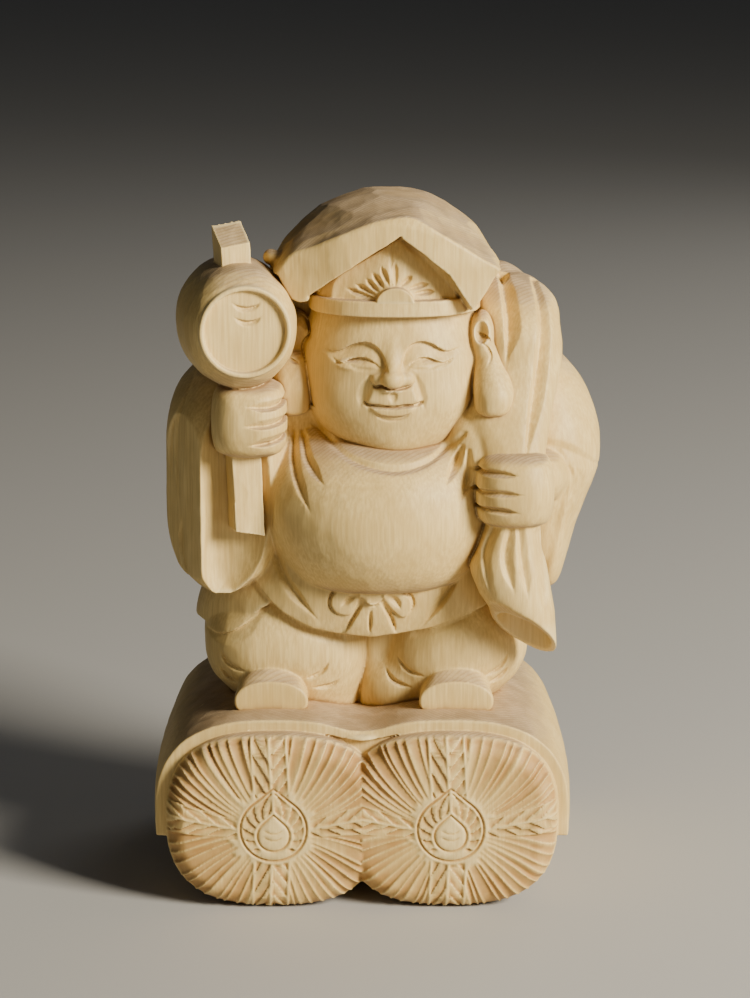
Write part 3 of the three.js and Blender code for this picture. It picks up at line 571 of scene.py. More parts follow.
figure.add(([26, -38, 8], [52, -16, 53], open_tube), 0.3)
for path, width, depth in (
        ([(37.4, 50), (35.8, 42), (38.6, 33)], 3.4, 1.3), ([(39.4, 50), (40.0, 42), (42.0, 31)], 3.0, 1.1),
        ([(43.8, 48), (45.2, 38), (46.4, 25)], 2.4, 0.8), ([(33.4, 50), (30.8, 42), (33.0, 31)], 2.6, 0.8)):
    figure.stroke(path, width, depth, lean=0.3, ends=(0.8, 0.05), between=(-45, -22))
for path, width, depth, lean in (
        ([(34.4, 112), (36.0, 106), (36.8, 98), (36.2, 90)], 4.4, 2.6, 0.5),
        ([(43.6, 108), (45.0, 101), (44.4, 91), (42.6, 79), (40.8, 66)], 4.0, 2.3, 0.5),
        ([(48.6, 103), (49.2, 94), (48.0, 84)], 2.4, 0.4, 0.3)):
    figure.stroke(path, width, depth, lean=lean, ends=(0.5, 0.15))
figure.add(fist(38.5, -27, 58.8, 1.0), 0.3)
for path in ([(27.6, 64.0), (33, 64.3), (39.4, 63.8)], [(27.6, 59.2), (34, 59.4), (40.6, 59.1)],
             [(28.4, 54.9), (34, 55.0), (39.8, 54.3)]):
    figure.stroke(path, 2.0, 1.5, ends=(0.5, 0.1))
for path in ([(34, 88), (22, 66), (20, 40)], [(20, 96), (10, 70), (12, 44)], [(6, 92), (-4, 70), (0, 48)]):
    figure.stroke(path, 4, 0.8, between=(5, 40))
figure.remove(slab(-60, -8.8, rim=0), 0)


# The head. It is round and full in the cheeks, with smiling shut eyes and no hair to be seen. The eyes, the
# nose and the mouth are cut with a few clean strokes.
F = 8.2  # the middle of the face, across the block
head = Block((-28, -37, 61), (42, 33, 134), 0.27, lift=STAND)
skull = rings([(65.4, F, -13, 7, 7.5, 2.1), (67.6, F, -12.6, 13, 12.8, 2.1), (72.5, F, -11.6, 18.6, 17, 2.15),
               (80, F, -10.6, 22.0, 19.5), (90, F, -10, 23.3, 19.7),
               (97, F - 0.3, -9.6, 22.0, 19, 2.15), (104, F - 0.3, -9, 20.2, 18, 2.1)])
head.add(skull)
for side in (-1, 1):
    head.add(egg((F + 10.2 * side, -18.4, 81.5), (8.6, 8.8, 8)), 3)
head.add(egg((F, -21.4, 71.6), (7.4, 6.2, 5)), 3)
nose = F - 0.6
head.add(rings([(85.2, nose, -27.6, 2.6, 3.4, 2), (86.8, nose, -28, 3.1, 5.2, 2),
                (89.6, nose, -28, 2.5, 4.2, 2), (93, nose, -27, 2.1, 3.0, 2),
                (98, nose, -25.6, 1.8, 1.8, 2)], rim=0.6), 1.6)
head.add(egg((nose, -31.2, 87), (2.8, 2.2, 2.2)), 1.2)
for side in (-1, 1):
    head.add(egg((nose + 3.5 * side, -28.8, 87), (2.0, 2.2, 1.8)), 0.7)
    head.add(egg((nose + 8.9 * side, -26.2, 90.6), (4.8, 2.4, 2.0)), 0.8)
FACE = (-40, -12)


def on_face(*path):
    """A path whose places across are counted from the middle of the face."""
    return [(F + u, v) for u, v in path]


head.stroke(on_face((-17.9, 94), (-15.2, 93.3), (-12.9, 93.8), (-10.4, 95.1), (-7.6, 95.8), (-5.3, 95.2),
                    (-3.5, 93.5), (-2.5, 91.4)), 6.0, 1.5, lean=-0.88, ends=(0.15, 0.5), between=FACE)
head.stroke(on_face((1.8, 91.3), (2.7, 93.8), (4.3, 95.4), (6.7, 96.0), (9.2, 95.3), (11.2, 94.1),
                    (13.2, 93.4), (16.2, 94.2)), 6.0, 1.5, lean=-0.88, ends=(0.5, 0.15), between=FACE)
for eye in (on_face((-15.0, 91.5), (-14.2, 90.9), (-13.1, 90.8), (-11.5, 91.3), (-9.6, 91.8), (-7.3, 91.9),
                    (-5.4, 91.2), (-3.7, 89.9)),
            on_face((3.3, 90.1), (4.5, 91.3), (6.4, 92.0), (8.3, 91.9), (9.9, 91.3), (11.5, 90.8),
                    (13.0, 90.9), (14.4, 91.6))):
    head.stroke(eye, 2.4, 1.2, lean=-0.75, ends=(0.3, 0.3), between=FACE)
for under_eye in (on_face((-12.4, 90.8), (-9.4, 89.6), (-6.4, 89.4), (-4.4, 89.9)),
                  on_face((3.6, 89.9), (5.6, 89.4), (8.8, 89.6), (12, 90.6))):
    head.stroke(under_eye, 1.6, 0.35, between=FACE)
under_nose = on_face((-6, 86.4), (-4.7, 85.0), (-3.1, 85.3), (-1.3, 84.6), (1, 84.6), (3.2, 85.1),
                     (4.8, 86.0))
upper_lip = on_face((-5.6, 84.9), (4.6, 84.9), (6.3, 81.3), (2.3, 80.6), (-0.4, 80.2), (-3.1, 80.5),
                    (-7.0, 81.2))
lower_lip = on_face((-6.4, 80.8), (-0.4, 80.2), (5.6, 80.8), (4.3, 78.6), (1.9, 77.5), (-0.8, 77.3),
                    (-3.6, 77.7), (-5.6, 79.1))
mouth = on_face((-7.2, 81.1), (-6.2, 80.5), (-3.1, 80.3), (-0.4, 80.1), (2.3, 80.4), (5.2, 80.6), (6.4, 81.1))
under_mouth = on_face((-6.0, 79.3), (-3.8, 77.5), (-0.8, 76.9), (2.1, 77.3), (4.7, 79.0))
head.stroke(under_nose, 1.1, 0.9, lean=0.3, ends=(0.4, 0.4), between=FACE)
head.area(upper_lip, 0.8, 1.4, between=FACE)
head.stroke(on_face((-0.4, 84.6), (-0.4, 81)), 2.4, 0.5, bowl=True, between=FACE)
head.area(lower_lip, 0.7, 1.4, between=FACE)
head.stroke(mouth, 1.3, 1.4, lean=-0.3, ends=(0.9, 0.9), between=FACE)
head.stroke(under_mouth, 1.7, 0.9, lean=0.2, between=FACE)
for cheek_line in (on_face((-6.3, 87.4), (-7.8, 84), (-8.6, 79.5)),
                   on_face((5.2, 87.6), (6.4, 84), (7.6, 79))):
    head.stroke(cheek_line, 3.0, 0.7, ends=(0.5, 0.1), between=FACE)


# The ears. They stand close to the head, with an open bowl above and a long heavy lobe below.
left_bowl = egg((-15.8, -15.4, 93.4), (2.7, 2.6, 5.4))
left_shell = less(egg((-16.4, -9, 92.5), (5.4, 6, 9), (0, -8, 0)), left_bowl, 0.5)
left_lobe = rings([(75.2, -17.8, -14.4, 3.6, 4.4, 2.4), (77.4, -17.8, -14, 4.8, 5.6, 2.6),
                   (83, -17.9, -13.6, 5.1, 6.2, 2.6), (89, -17.9, -12, 4.8, 5.6, 2.4),
                   (92, -17.4, -10, 3, 4, 2)], rim=1.4)
right_shell = less(egg((30.3, -16.2, 95.4), (3.7, 6.9, 7.0)), egg((29.9, -23.2, 98.0), (2.0, 3.2, 3.2)))
right_lobe = rings([(76.4, 33.0, -23.6, 3.0, 3.6, 2), (78.4, 33.1, -23.6, 4.6, 5.4, 2.1),
                    (82.4, 33.3, -22.9, 5.3, 6.4, 2.1), (86.2, 32.9, -20.8, 4.9, 6.5, 2.1),
                    (90.2, 32.0, -18.4, 3.9, 6, 2), (94.5, 31.5, -16.4, 2.8, 5.4, 2)], rim=1.2)
head.add(joined(left_shell, left_lobe, 1.5), 0.4)
head.add(joined(right_shell, right_lobe, 1.2), 0.4)
left_helix = [(-16.5, 100.7), (-15.1, 100.2), (-13.5, 97.9), (-13.3, 95.6), (-14.7, 93.7), (-15.1, 91.8),
              (-14, 88.5)]
for path, width, depth in (
        (left_helix, 1.0, 0.9),
        ([(-18.5, 90.3), (-17.3, 89.4), (-15.7, 88.8)], 1.0, 0.9),
        ([(28.6, 97.8), (29.8, 96.9), (31.8, 96.0), (32.6, 94.4)], 0.9, 0.8),
        ([(29.8, 95.4), (31.6, 93.6), (32.4, 91.6), (31.4, 89.2)], 0.9, 0.7)):
    head.stroke(path, width, depth, between=(-40, -3))


# The cap under the hood. It rises to a point, and has a plain band across the brow and a half sun with nine
# rays. Each ray is one stroke of a narrow gouge that runs out at its tip.
cap = rings([(103.4, F, -9.4, 21, 20.2, 2.4), (107, F, -9.4, 21, 20.1, 2.4), (113, F, -9.2, 19.8, 18.8, 2.3),
             (123, F, -9, 14, 15.6, 2.1)])
head.add(shaved(cap, [((6.8, -29.4, 107), (-0.34, -1, 0.2)), ((6.8, -29.4, 107), (0.26, -1, 0.2))]), 0.3)
head.add(rings([(102.6, F, -10, 21.9, 20.7, 2.5), (106.7, F, -9.8, 21.9, 20.5, 2.5)], rim=0.5), 0.2)
sun = [(F + 0.1 + 4.7 * math.cos(a), 106.3 + 3.8 * math.sin(a)) for a in np.linspace(0, math.pi, 24)]
head.add(plate(sun, -30.5, -20, rim=0.4), 0.15)
ray_feet = [(2.8, 107.1), (3.3, 107.9), (4.0, 108.8), (5.3, 109.8), (6.8, 110.3), (8.3, 110.4), (9.8, 110.2),
            (11.9, 109.4), (13.2, 108.2)]
ray_tips = [(-4.4, 109.3), (-2.1, 110.6), (0.8, 112), (2.4, 113.6), (4.6, 115.4), (8.3, 116.6), (12.8, 112.9),
            (17.1, 110.6), (18.7, 108.6)]
for foot, tip in zip(ray_feet, ray_tips):
    middle_of_ray = [(a + b) / 2 for a, b in zip(foot, tip)]
    head.stroke([foot, middle_of_ray, tip], 1.7, 1.1, ends=(0.4, 0.0), between=(-40, -12))


# The hood. A big soft hood lies over the cap, with a thick edge that rises to a point over the brow. The
# chisel left broad flats on its top and cut its front edge clean.
hood = rings([(-31.7, 7.3, 104.8, 29.6, 22.6, 1.78), (-29.5, 7.2, 105, 30.7, 23.8, 1.8),
              (-21, 6.5, 105.3, 31, 24.8, 1.83), (-9, 6, 105.3, 30.7, 26, 1.95), (4, 6, 105.3, 30, 26, 2),
              (16, 6.5, 105, 27, 24.5, 2), (25, 7, 104, 20, 19, 2), (30, 7, 102, 8, 8, 2)], axis=1, rim=2.0)
right_side = [(60, 119), (38, 116), (34.4, 113.6)]
left_fold = [(-8.8, 103.6), (-9.2, 107.6), (-12.6, 107.4), (-13.4, 106.4), (-15.4, 106.1), (-17.4, 106.8),
             (-19.4, 109.6), (-21, 112.6), (-26, 113.4), (-60, 113.4)]
under_hood = plate([*right_side, (27.3, 103.6), *left_fold, (-60, 60), (60, 60)], -60, -7, rim=1.5)
opening = plate([(31, 80), (31, 97), (27.3, 102.8), (24.1, 107.4), (15.2, 117), (9.6, 122.6), (5.1, 119.6),
                 (-3.9, 113.8), (-10.7, 109), (-12.6, 107.6), (-13.4, 105.6), (-15, 103), (-17, 80)],
                -60, -20, rim=0.5)
hood_flats = [((-20, -29, 116.8), (-0.41, -0.30, 0.86)), ((34, -29, 114.8), (0.53, -0.16, 0.83)),
              ((8.6, -29, 128.4), (0.0, -0.19, 0.98)), ((-3, -29, 125.6), (-0.22, -0.26, 0.94)),
              ((-4, -31.7, 115), (-0.28, -1, 0)), ((17, -31.7, 115), (0.2, -1, 0))]
hood = less(less(shaved(hood, hood_flats, 0.8), under_hood, 0.5), opening, 0.4)
beside_hood = plate([*right_side, (30, 107), (29, 100), (29, 60), (60, 60)], -60, 4, rim=1.5)
right_bevel = plate([(9.5, 122.7), (14.6, 118.9), (21.6, 113.2), (28.2, 103.0), (26.5, 103), (9.5, 120)],
                    -60, -25, rim=2.5)
head.add(less(hood, beside_hood, 0.5), 0.2)
head.remove(right_bevel, 0.4)
head.add(egg((-22.3, -16, 115.8), (2.6, 4, 2.3)), 1.2)
for path, width, depth in (([(-13.0, 107.6), (-3.9, 113.8), (5.1, 119.6), (9.6, 122.6)], 1.0, 0.5),
                           ([(7.2, 121), (7.4, 110.6)], 1.2, 0.3)):
    head.stroke(path, width, depth, ends=(0.8, 0.8), between=(-40, -12))


# How the wood is worked. Strokes that repeat by a rule are made with nodes, and so is the colour of the wood.
class Term:
    """A socket of a node tree that can be reckoned with like a number."""

    def __init__(self, tree, socket):
        self.tree, self.socket = tree, socket

    def node(self, kind, settings=None, values=None, output=0):
        made = self.tree.nodes.new(kind)
        for name, value in (settings or {}).items():
            setattr(made, name, value)
        for key, value in (values or {}).items():
            if isinstance(value, Term):
                self.tree.links.new(value.socket, made.inputs[key])
            else:
                made.inputs[key].default_value = value
        return Term(self.tree, made.outputs[output])

    def math(self, operation, *values, first=None):
        values = (self if first is None else first, *values)
        return self.node("ShaderNodeMath", {"operation": operation}, dict(enumerate(values)))

    def __add__(self, other):
        return self.math("ADD", other)

    def __sub__(self, other):
        return self.math("SUBTRACT", other)

    def __mul__(self, other):
        return self.math("MULTIPLY", other)

    def __truediv__(self, other):
        return self.math("DIVIDE", other)

    def __pow__(self, other):
        return self.math("POWER", other)

    def __radd__(self, other):
        return self.math("ADD", self, first=other)

    def __rsub__(self, other):
        return self.math("SUBTRACT", self, first=other)

    def __rmul__(self, other):
        return self.math("MULTIPLY", self, first=other)

    def __rtruediv__(self, other):
        return self.math("DIVIDE", self, first=other)

    def __abs__(self):
        return self.math("ABSOLUTE")

    def over(self, limit):
        return self.math("GREATER_THAN", limit)

    def under(self, limit):
        return self.math("LESS_THAN", limit)

    def fraction(self):
        return self.math("FRACT")

    def most(self, other):
        return self.math("MAXIMUM", other)

    def line(self, at, half_width):
        """1 where the term has this value, and falling to 0 on both sides."""
        return (1 - abs(self - at) / half_width).most(0.0)

    def ramp(self, start, end, low=0.0, high=1.0, soft=True):
        """Goes from low at the start to high at the end, and stays level outside them."""
        return self.node("ShaderNodeMapRange", {"interpolation_type": "SMOOTHSTEP" if soft else "LINEAR"},
                         {0: self, 1: start, 2: end, 3: low, 4: high})

    def mixed(self, other, share):
        return self + (other - self) * share

    def parts(self):
        made = self.tree.nodes.new("ShaderNodeSeparateXYZ")
        self.tree.links.new(self.socket, made.inputs[0])
        return [Term(self.tree, output) for output in made.outputs]

    def scaled(self, by):
        return self.node("ShaderNodeVectorMath", {"operation": "SCALE"}, {0: self, "Scale": by})

    def shifted(self, by):
        return self.node("ShaderNodeVectorMath", {"operation": "ADD"}, {0: self, 1: by})


def carving_rule(name, sizes):
    """An empty tree of nodes, its named sizes as terms, and the place in the drawing's millimetres."""
    tree = bpy.data.node_groups.new(name, "GeometryNodeTree")
    for way in ("INPUT", "OUTPUT"):
        tree.interface.new_socket("Geometry", in_out=way, socket_type="NodeSocketGeometry")
    for label, value in sizes.items():
        tree.interface.new_socket(label, in_out="INPUT", socket_type="NodeSocketFloat").default_value = value
    inside = tree.nodes.new("NodeGroupInput")
    terms = {output.name: Term(tree, output) for output in inside.outputs if output.name}
    place = terms["Unit"].node("GeometryNodeInputPosition")
    return tree, terms, [p / terms["Unit"] for p in place.parts()]


def finish_rule(tree, geometry, offset, marks):
    """Moves the skin by the rule, keeps the marks on it and makes it plain wood."""
    for label, value in marks.items():
        geometry = geometry.node("GeometryNodeStoreNamedAttribute", {"data_type": "FLOAT", "domain": "POINT"},
                                 {"Geometry": geometry, "Name": label, "Value": value})
    step = geometry.node("GeometryNodeInputNormal").scaled(offset)
    moved = geometry.node("GeometryNodeSetPosition", None, {"Geometry": geometry, "Offset": step})
    whole = moved.node("GeometryNodeRealizeInstances", None, {"Geometry": moved})
    dressed = whole.node("GeometryNodeSetMaterial", None, {"Geometry": whole, "Material": wood})
    tree.links.new(dressed.socket, tree.nodes.new("NodeGroupOutput").inputs[0])


def follow_rule(piece, tree, sizes, share=1.0):
    """Carves the piece by the rule, thins its flat places and leaves a plain mesh."""
    rule = piece.modifiers.new("carving", "NODES")
    rule.node_group = tree
    for item in tree.interface.items_tree:
        if item.in_out == "INPUT" and item.name in sizes:
            rule[item.identifier] = sizes[item.name]
    if share < 1:
        piece.modifiers.new("thin", "DECIMATE").ratio = share
    seen = bpy.context.evaluated_depsgraph_get()
    carved = piece.evaluated_get(seen)
    plain = bpy.data.meshes.new_from_object(carved, preserve_all_data_layers=True, depsgraph=seen)
    rough, piece.data = piece.data, plain
    piece.modifiers.clear()
    bpy.data.meshes.remove(rough)
    plain.name = piece.name


# The straw of the bale ends. Fanned gouge strokes run from a round boss over the rim, with leaf cuts in bands
# above, below and beside it. The boss has the outline of a flaming jewel, and a smaller jewel inside.
BOSS_HEIGHT, BOSS_RADIUS = 21.8, 8.4
JEWEL_DROP, JEWEL_RADIUS = 1.7, 4.1
LEAF_START, BAND_HALF_WIDTH, BELT_RISE = 9.0, 4.5, 0.19
STRAW_START, STRAW_RAGGED = 8.7, 2.6
FAN_BEND_BELOW, FAN_BEND_MORE, FAN_CROWDING = 0.10, 0.145, 0.1455
straw_sizes = {"Unit": UNIT, "Stroke depth": 0.34, "Strokes above": 90.0, "Strokes below": 58.0,
               "Leaf depth": 0.62, "Boss rise": 0.2, "Jewel rise": 0.35}
straw_tree, t, (px, py, pz) = carving_rule("straw_strokes", straw_sizes)
px = px + float(MIDDLE[0])
py = py + float(MIDDLE[1])
u = (abs(px) - BALE_SPACING / 2) * px.math("SIGN")
v = pz - BOSS_HEIGHT
front_end = py.under(0.0)
across, up, above = abs(u), abs(v), v.over(0.0)


def pointed_round(height, size, point, width, sharpness):
    """The distance from a middle at this height, and a round outline about it that rises to a point."""
    peak = height.math("ARCTAN2", u).line(math.pi / 2, width)
    return (u * u + height * height) ** 0.5, (peak ** sharpness * point + 1) * size


# The fan of single straws.
radius, outline = pointed_round(v, BOSS_RADIUS, 0.29, 0.75, 2.6)
angle = up.math("ARCTAN2", across)
bend = FAN_BEND_BELOW + above * FAN_BEND_MORE
swept = angle + bend * angle.math("COSINE") * radius.ramp(9.5, 27.5, 1.0, 0.0, soft=False)
count = t["Strokes below"].mixed(t["Strokes above"], above)
quarter = u.over(0.0) * 17 + above * 31 + px.over(0.0) * 53 + front_end * 71
index = (swept - above * FAN_CROWDING * swept * swept) * count / (2 * math.pi) + quarter
along_line = {"noise_dimensions": "1D"}
wander = index.node("ShaderNodeTexNoise", along_line, {"W": index * 0.8, "Scale": 1.0, "Detail": 0.0})
index = index + wander * 0.9
straw_part = index.fraction()
chance = index.node("ShaderNodeTexWhiteNoise", along_line, {"W": index.math("FLOOR")})
hollow_cut = straw_part ** 0.9 * (1 - straw_part) ** 0.55 * 2.6
begin = radius - STRAW_START - chance * chance * STRAW_RAGGED
straw_width = radius * (2 * math.pi / 62)
strokes = hollow_cut * begin.ramp(0.0, 1.6) * straw_width * t["Stroke depth"] * (0.6 + chance * 0.6)
strokes = strokes * (pz - 1.5).ramp(-1.5, 6.0, 0.65, 1.0)

# The upright band of leaves, and the level one that widens towards the sides.
lean_u = u + up * 0.05
band_side = abs(lean_u)
left_side = lean_u.under(0.0)
leaf = (up - band_side * (1.3 + left_side * 0.6)) / (3.6 + left_side * 1.6) + above * 0.4 + quarter * 0.13
walls = band_side.ramp(0.1, 0.7) * band_side.ramp(BAND_HALF_WIDTH, BAND_HALF_WIDTH - 0.7)
band = leaf.fraction() * t["Leaf depth"] * walls * (radius - LEAF_START).ramp(0.0, 1.0)
cuts = strokes.mixed(band, band_side.under(BAND_HALF_WIDTH))
cuts = cuts * abs(band_side - BAND_HALF_WIDTH).ramp(0.0, 0.5)
outward = across - LEAF_START
from_belt = v - outward * BELT_RISE
beside = abs(from_belt)
reach = 2.6 + outward.ramp(0.0, 16.0) * 1.4
leaf = (across - beside * 1.5) / 4.2 + from_belt.over(0.0) * 0.4 + quarter * 0.17
belt = leaf.fraction() * t["Leaf depth"] * beside.ramp(0.05, 0.6) * (reach - beside).ramp(0.0, 0.6)
cuts = cuts.mixed(belt * outward.ramp(0.0, 1.2), beside.under(reach) * across.over(8.0))
cuts = cuts.most(beside.line(reach, 0.4) * across.ramp(8.8, 9.8) * 0.35)

# The boss and its jewel.
groove = radius.line(outline, 0.45) * 0.75
low_radius, jewel_edge = pointed_round(v + JEWEL_DROP, JEWEL_RADIUS, 0.36, 0.8, 2.4)
from_below = abs(u.math("ARCTAN2", 0.0 - v))
flame = ((from_below - (radius - 4) * 0.11) * 15 / (2 * math.pi)).fraction()
flame = flame * (low_radius - jewel_edge - 0.6).ramp(0.0, 0.7) * (outline - radius).ramp(0.4, 1.0) * 0.6
flame = flame * from_below.ramp(0.45, 0.7) * across.ramp(0.15, 0.6)
jewel_groove = low_radius.line(jewel_edge, 0.4) * 0.6
smile = v - u * u * 0.16
arcs = (smile.line(-1.0, 0.28) + smile.line(-2.8, 0.28)) * across.ramp(2.6, 1.7) * 0.35
boss = groove + (flame + jewel_groove + arcs) * front_end
inside_boss = radius.under(outline)
cuts = (cuts * (1 - inside_boss)).mixed(boss, inside_boss).most(groove)
rise = (radius.ramp(9.6, 8.6) * t["Boss rise"] + low_radius.ramp(4.4, 0.0) * t["Jewel rise"]) * front_end
on_end = (abs(py) + (pz - 40).ramp(0.0, 6.0) * -1.6).ramp(36.5, 38.6)
marks = {"groove": cuts * on_end, "straw": on_end}
finish_rule(straw_tree, t["Geometry"], (rise - cuts) * on_end * t["Unit"], marks)


# The chisel's flats. All over the figure and the cloth, the last cuts of a broad gouge left shallow flats.
# Those on top of the hood are much broader.
flat_sizes = {"Unit": UNIT, "Flat width": 4.2, "Flat height": 7.0, "Flat depth": 0.16, "Seed": 7.0,
              "Broad flat": 11.0, "Broad depth": 0.7}
flat_tree, t, (px, py, pz) = carving_rule("chisel_flats", flat_sizes)


def cells(width, height):
    return px.node("ShaderNodeCombineXYZ", None, {0: px / width + t["Seed"], 1: py / width, 2: pz / height})


def dishes(cell, chance, steepness, label):
    """A shallow dish for each cell, where the skin has this mark."""
    values = {"Vector": cell, "Scale": 1.0, "Randomness": chance}
    spot = cell.node("ShaderNodeTexVoronoi", {"feature": "F1"}, values)
    marked_share = cell.node("GeometryNodeInputNamedAttribute", {"data_type": "FLOAT"}, {"Name": label})
    return (1 - spot * spot * steepness).most(0.0) * marked_share


cell = cells(t["Flat width"], t["Flat height"])
sway = cell.node("ShaderNodeTexNoise", None, {"Vector": cell, "Scale": 0.6, "Detail": 1.0}, "Color")
small = dishes(cell.shifted(sway), 0.9, 1.7, "flats") * t["Flat depth"]
broad = dishes(cells(t["Broad flat"], t["Broad flat"]), 0.8, 1.5, "broad_flats") * t["Broad depth"]
finish_rule(flat_tree, t["Geometry"], (small + broad) * t["Unit"] * -1, {})


# The finished skin. The carving is one block, and its picture is kept as four meshes that meet in carved
# creases. Each is marked with what the colour needs: creases, ridges, hollows, end grain and straw.
TRIANGLES = 192000
CREASE_STEPS = ((0.7, 0.55), (1.8, 0.45))  # how far out, and with what weight
RIDGE_STEPS = ((0.6, 0.6), (1.4, 0.4))
HOLLOW_STEP = 3.6
blocks = {"carved_bales": bales, "carved_body": figure, "carved_mallet": mallet, "carved_head": head}


def nearest_skin(places):
    return np.minimum.reduce([block.at(places) for block in blocks.values()])


def mark(piece, label, values):
    layer = piece.data.attributes.new(label, "FLOAT", "POINT")
    layer.data.foreach_set("value", np.asarray(values, np.float32))


def vectors(items, key):
    flat = np.zeros(len(items) * 3, np.float32)
    items.foreach_get(key, flat)
    return flat.reshape(-1, 3)


def places_of(piece):
    return vectors(piece.data.vertices, "co") / UNIT + MIDDLE


def flats_at(places):
    """How much the small flats show, and how much the broad ones, which are on top of the hood alone."""
    x, y, z = places.T
    up = z - STAND
    off_the_straw = smooth((37.2 - np.abs(y)) / 1.0) * smooth(z / 1.5)
    face = smooth((24 - np.hypot(x - F, (up - 84) * 1.05)) / 3) * smooth((-14 - y) / 4)
    mallet_end = 0.9 * smooth((12.2 - np.hypot(x + 28.6, up - 100)) / 0.8) * smooth((-32 - y) / 1.5)
    shoe_fronts = 0.9 * smooth((8.5 - up) / 1.0) * smooth((-25.6 - y) / 0.8) * smooth((up + 1) / 1.0)
    cap_rays = smooth((122.5 - 0.6 * np.abs(x - F) - up) / 2) * smooth((-10 - y) / 4)
    hood_top = smooth((up - 108) / 6) * smooth((y + 31) / 4) * smooth((31 - np.abs(x - 6.5)) / 4)
    hood_top *= 1 - cap_rays
    small = off_the_straw * (1 - 0.65 * face) * (1 - mallet_end) * (1 - shoe_fronts)
    return small * (1 - 0.3 * hood_top), hood_top


for name, block in blocks.items():
    piece = block.object(name)
    if name == "carved_bales":
        follow_rule(piece, straw_tree, straw_sizes)
    for label, values in zip(("flats", "broad_flats"), flats_at(places_of(piece))):
        mark(piece, label, values)
    follow_rule(piece, flat_tree, flat_sizes, min(1.0, TRIANGLES / (2 * len(piece.data.polygons))))
    places, facing = places_of(piece), vectors(piece.data.vertex_normals, "vector")
    # Crease, ridge and hollow tell how shut in or how proud each place lies. The colour uses them to paint
    # shade in creases and hollows and a highlight on ridges.
    crease = sum(np.clip(1 - nearest_skin(places + facing * d) / d, -1, 1) * w for d, w in CREASE_STEPS)
    ridge = sum(np.clip(1 + nearest_skin(places - facing * d) / d, -1, 1) * w for d, w in RIDGE_STEPS)
    hollow = 1 - nearest_skin(places + facing * HOLLOW_STEP) / HOLLOW_STEP
    end_grain = np.abs(facing[:, 2])
    for label, values in (("crease", crease), ("ridge", ridge), ("hollow", hollow), ("end_grain", end_grain)):
        mark(piece, label, np.clip(values, 0, 1))
    for label in ("groove", "straw"):
        if label not in piece.data.attributes:
            mark(piece, label, np.zeros(len(places)))
    kept = np.clip((places - MIDDLE) * UNIT, np.array(low_corner), np.array(high_corner))
    piece.data.vertices.foreach_set("co", kept.astype(np.float32).ravel())
    piece.data.shade_smooth()
    piece.data.update()
    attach(piece, "root")
    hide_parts("daikoku_figure")


# The wood itself. Pale side grain with upright streaks, duller, pinker end grain on the faces that look up,
# and fine growth rings round a far heart of the tree.
# Over it lies painted shade, honey-brown in the grooves and tan and brown in creases and hollows, and a pale
# painted highlight on ridges.
RING_PITCH = 1.05
TREE_HEART = (-150, 190)
SIDE_DARK, SIDE_PALE, CLOUD = (0.70, 0.49, 0.175), (0.87, 0.655, 0.265), (0.60, 0.41, 0.13)
SIDE_RING, FIBRE = (0.55, 0.34, 0.12), (0.50, 0.31, 0.11)
END_DARK, END_PALE, END_RING = (0.29, 0.205, 0.13), (0.52, 0.385, 0.25), (0.22, 0.12, 0.05)
# The two colours on the next line are painted shade for the creases.
TAN_CREASE_SHADE, BROWN_CREASE_SHADE = (0.51, 0.33, 0.13), (0.22, 0.10, 0.03)
# On the next line: honey-brown and tan painted shade for grooves and hollows, and a pale painted highlight
# for ridges.
HONEY_GROOVE_SHADE, TAN_HOLLOW_SHADE, PALE_EDGE_HIGHLIGHT = (0.47, 0.25, 0.07), (0.58, 0.38, 0.15), (0.92, 0.75, 0.38)
tree = wood.node_tree
shader = tree.nodes["Principled BSDF"]
start = Term(tree, tree.nodes.new("ShaderNodeTexCoord").outputs["Object"])


def marked(label):
    settings = {"attribute_type": "GEOMETRY", "attribute_name": label}
    return start.node("ShaderNodeAttribute", settings, None, "Fac")


def blend(first, second, share):
    colours = {6: first, 7: second}
    for key, colour in colours.items():
        colours[key] = colour if isinstance(colour, Term) else (*colour, 1)
    return start.node("ShaderNodeMix", {"data_type": "RGBA"}, {"Factor": share, **colours}, 2)


def noise(place, scale, detail=2.0, rough=0.5):
    values = {"Vector": place, "Scale": scale, "Detail": detail, "Roughness": rough}
    return start.node("ShaderNodeTexNoise", None, values)


drawn = start.scaled(1 / UNIT)
x, y, z = drawn.parts()
broad = noise(drawn, 0.02, 3.0)
across, away = x - TREE_HEART[0], y - TREE_HEART[1]
from_heart = (across * across + away * away) ** 0.5 + z * 0.02 + broad * 5
ring = (from_heart / RING_PITCH).fraction()
ring_line = ring.ramp(0.35, 0.97) * ring.ramp(1.0, 0.97)
long_place = start.node("ShaderNodeCombineXYZ", None, {0: x, 1: y, 2: z * 0.045})
streak = noise(long_place, 1.6, 4.0, 0.6)
fibre = noise(long_place, 7.0, 2.0, 0.6)
pores = noise(drawn, 3.2, 3.0, 0.6)
end_grain = marked("end_grain").ramp(0.55, 0.95)
crease, ridge, hollow = marked("crease"), marked("ridge"), marked("hollow")
groove, straw = marked("groove"), marked("straw")
cloudy = noise(drawn, 0.07, 2.0).ramp(0.35, 0.68)
patches = noise(drawn, 0.16, 3.0, 0.6).ramp(0.35, 0.65)

side_wood = blend(SIDE_DARK, SIDE_PALE, streak.ramp(0.3, 0.7))
side_wood = blend(side_wood, CLOUD, cloudy * 0.5)
side_wood = blend(side_wood, SIDE_RING, ring_line * 0.12)
side_wood = blend(side_wood, FIBRE, fibre.ramp(0.55, 0.8) * 0.22)
end_wood = blend(END_DARK, END_PALE, pores.ramp(0.35, 0.65) * 0.4 + patches * 0.6)
end_wood = blend(end_wood, END_RING, ring_line * 0.6)
colour = blend(side_wood, end_wood, end_grain * 0.85)
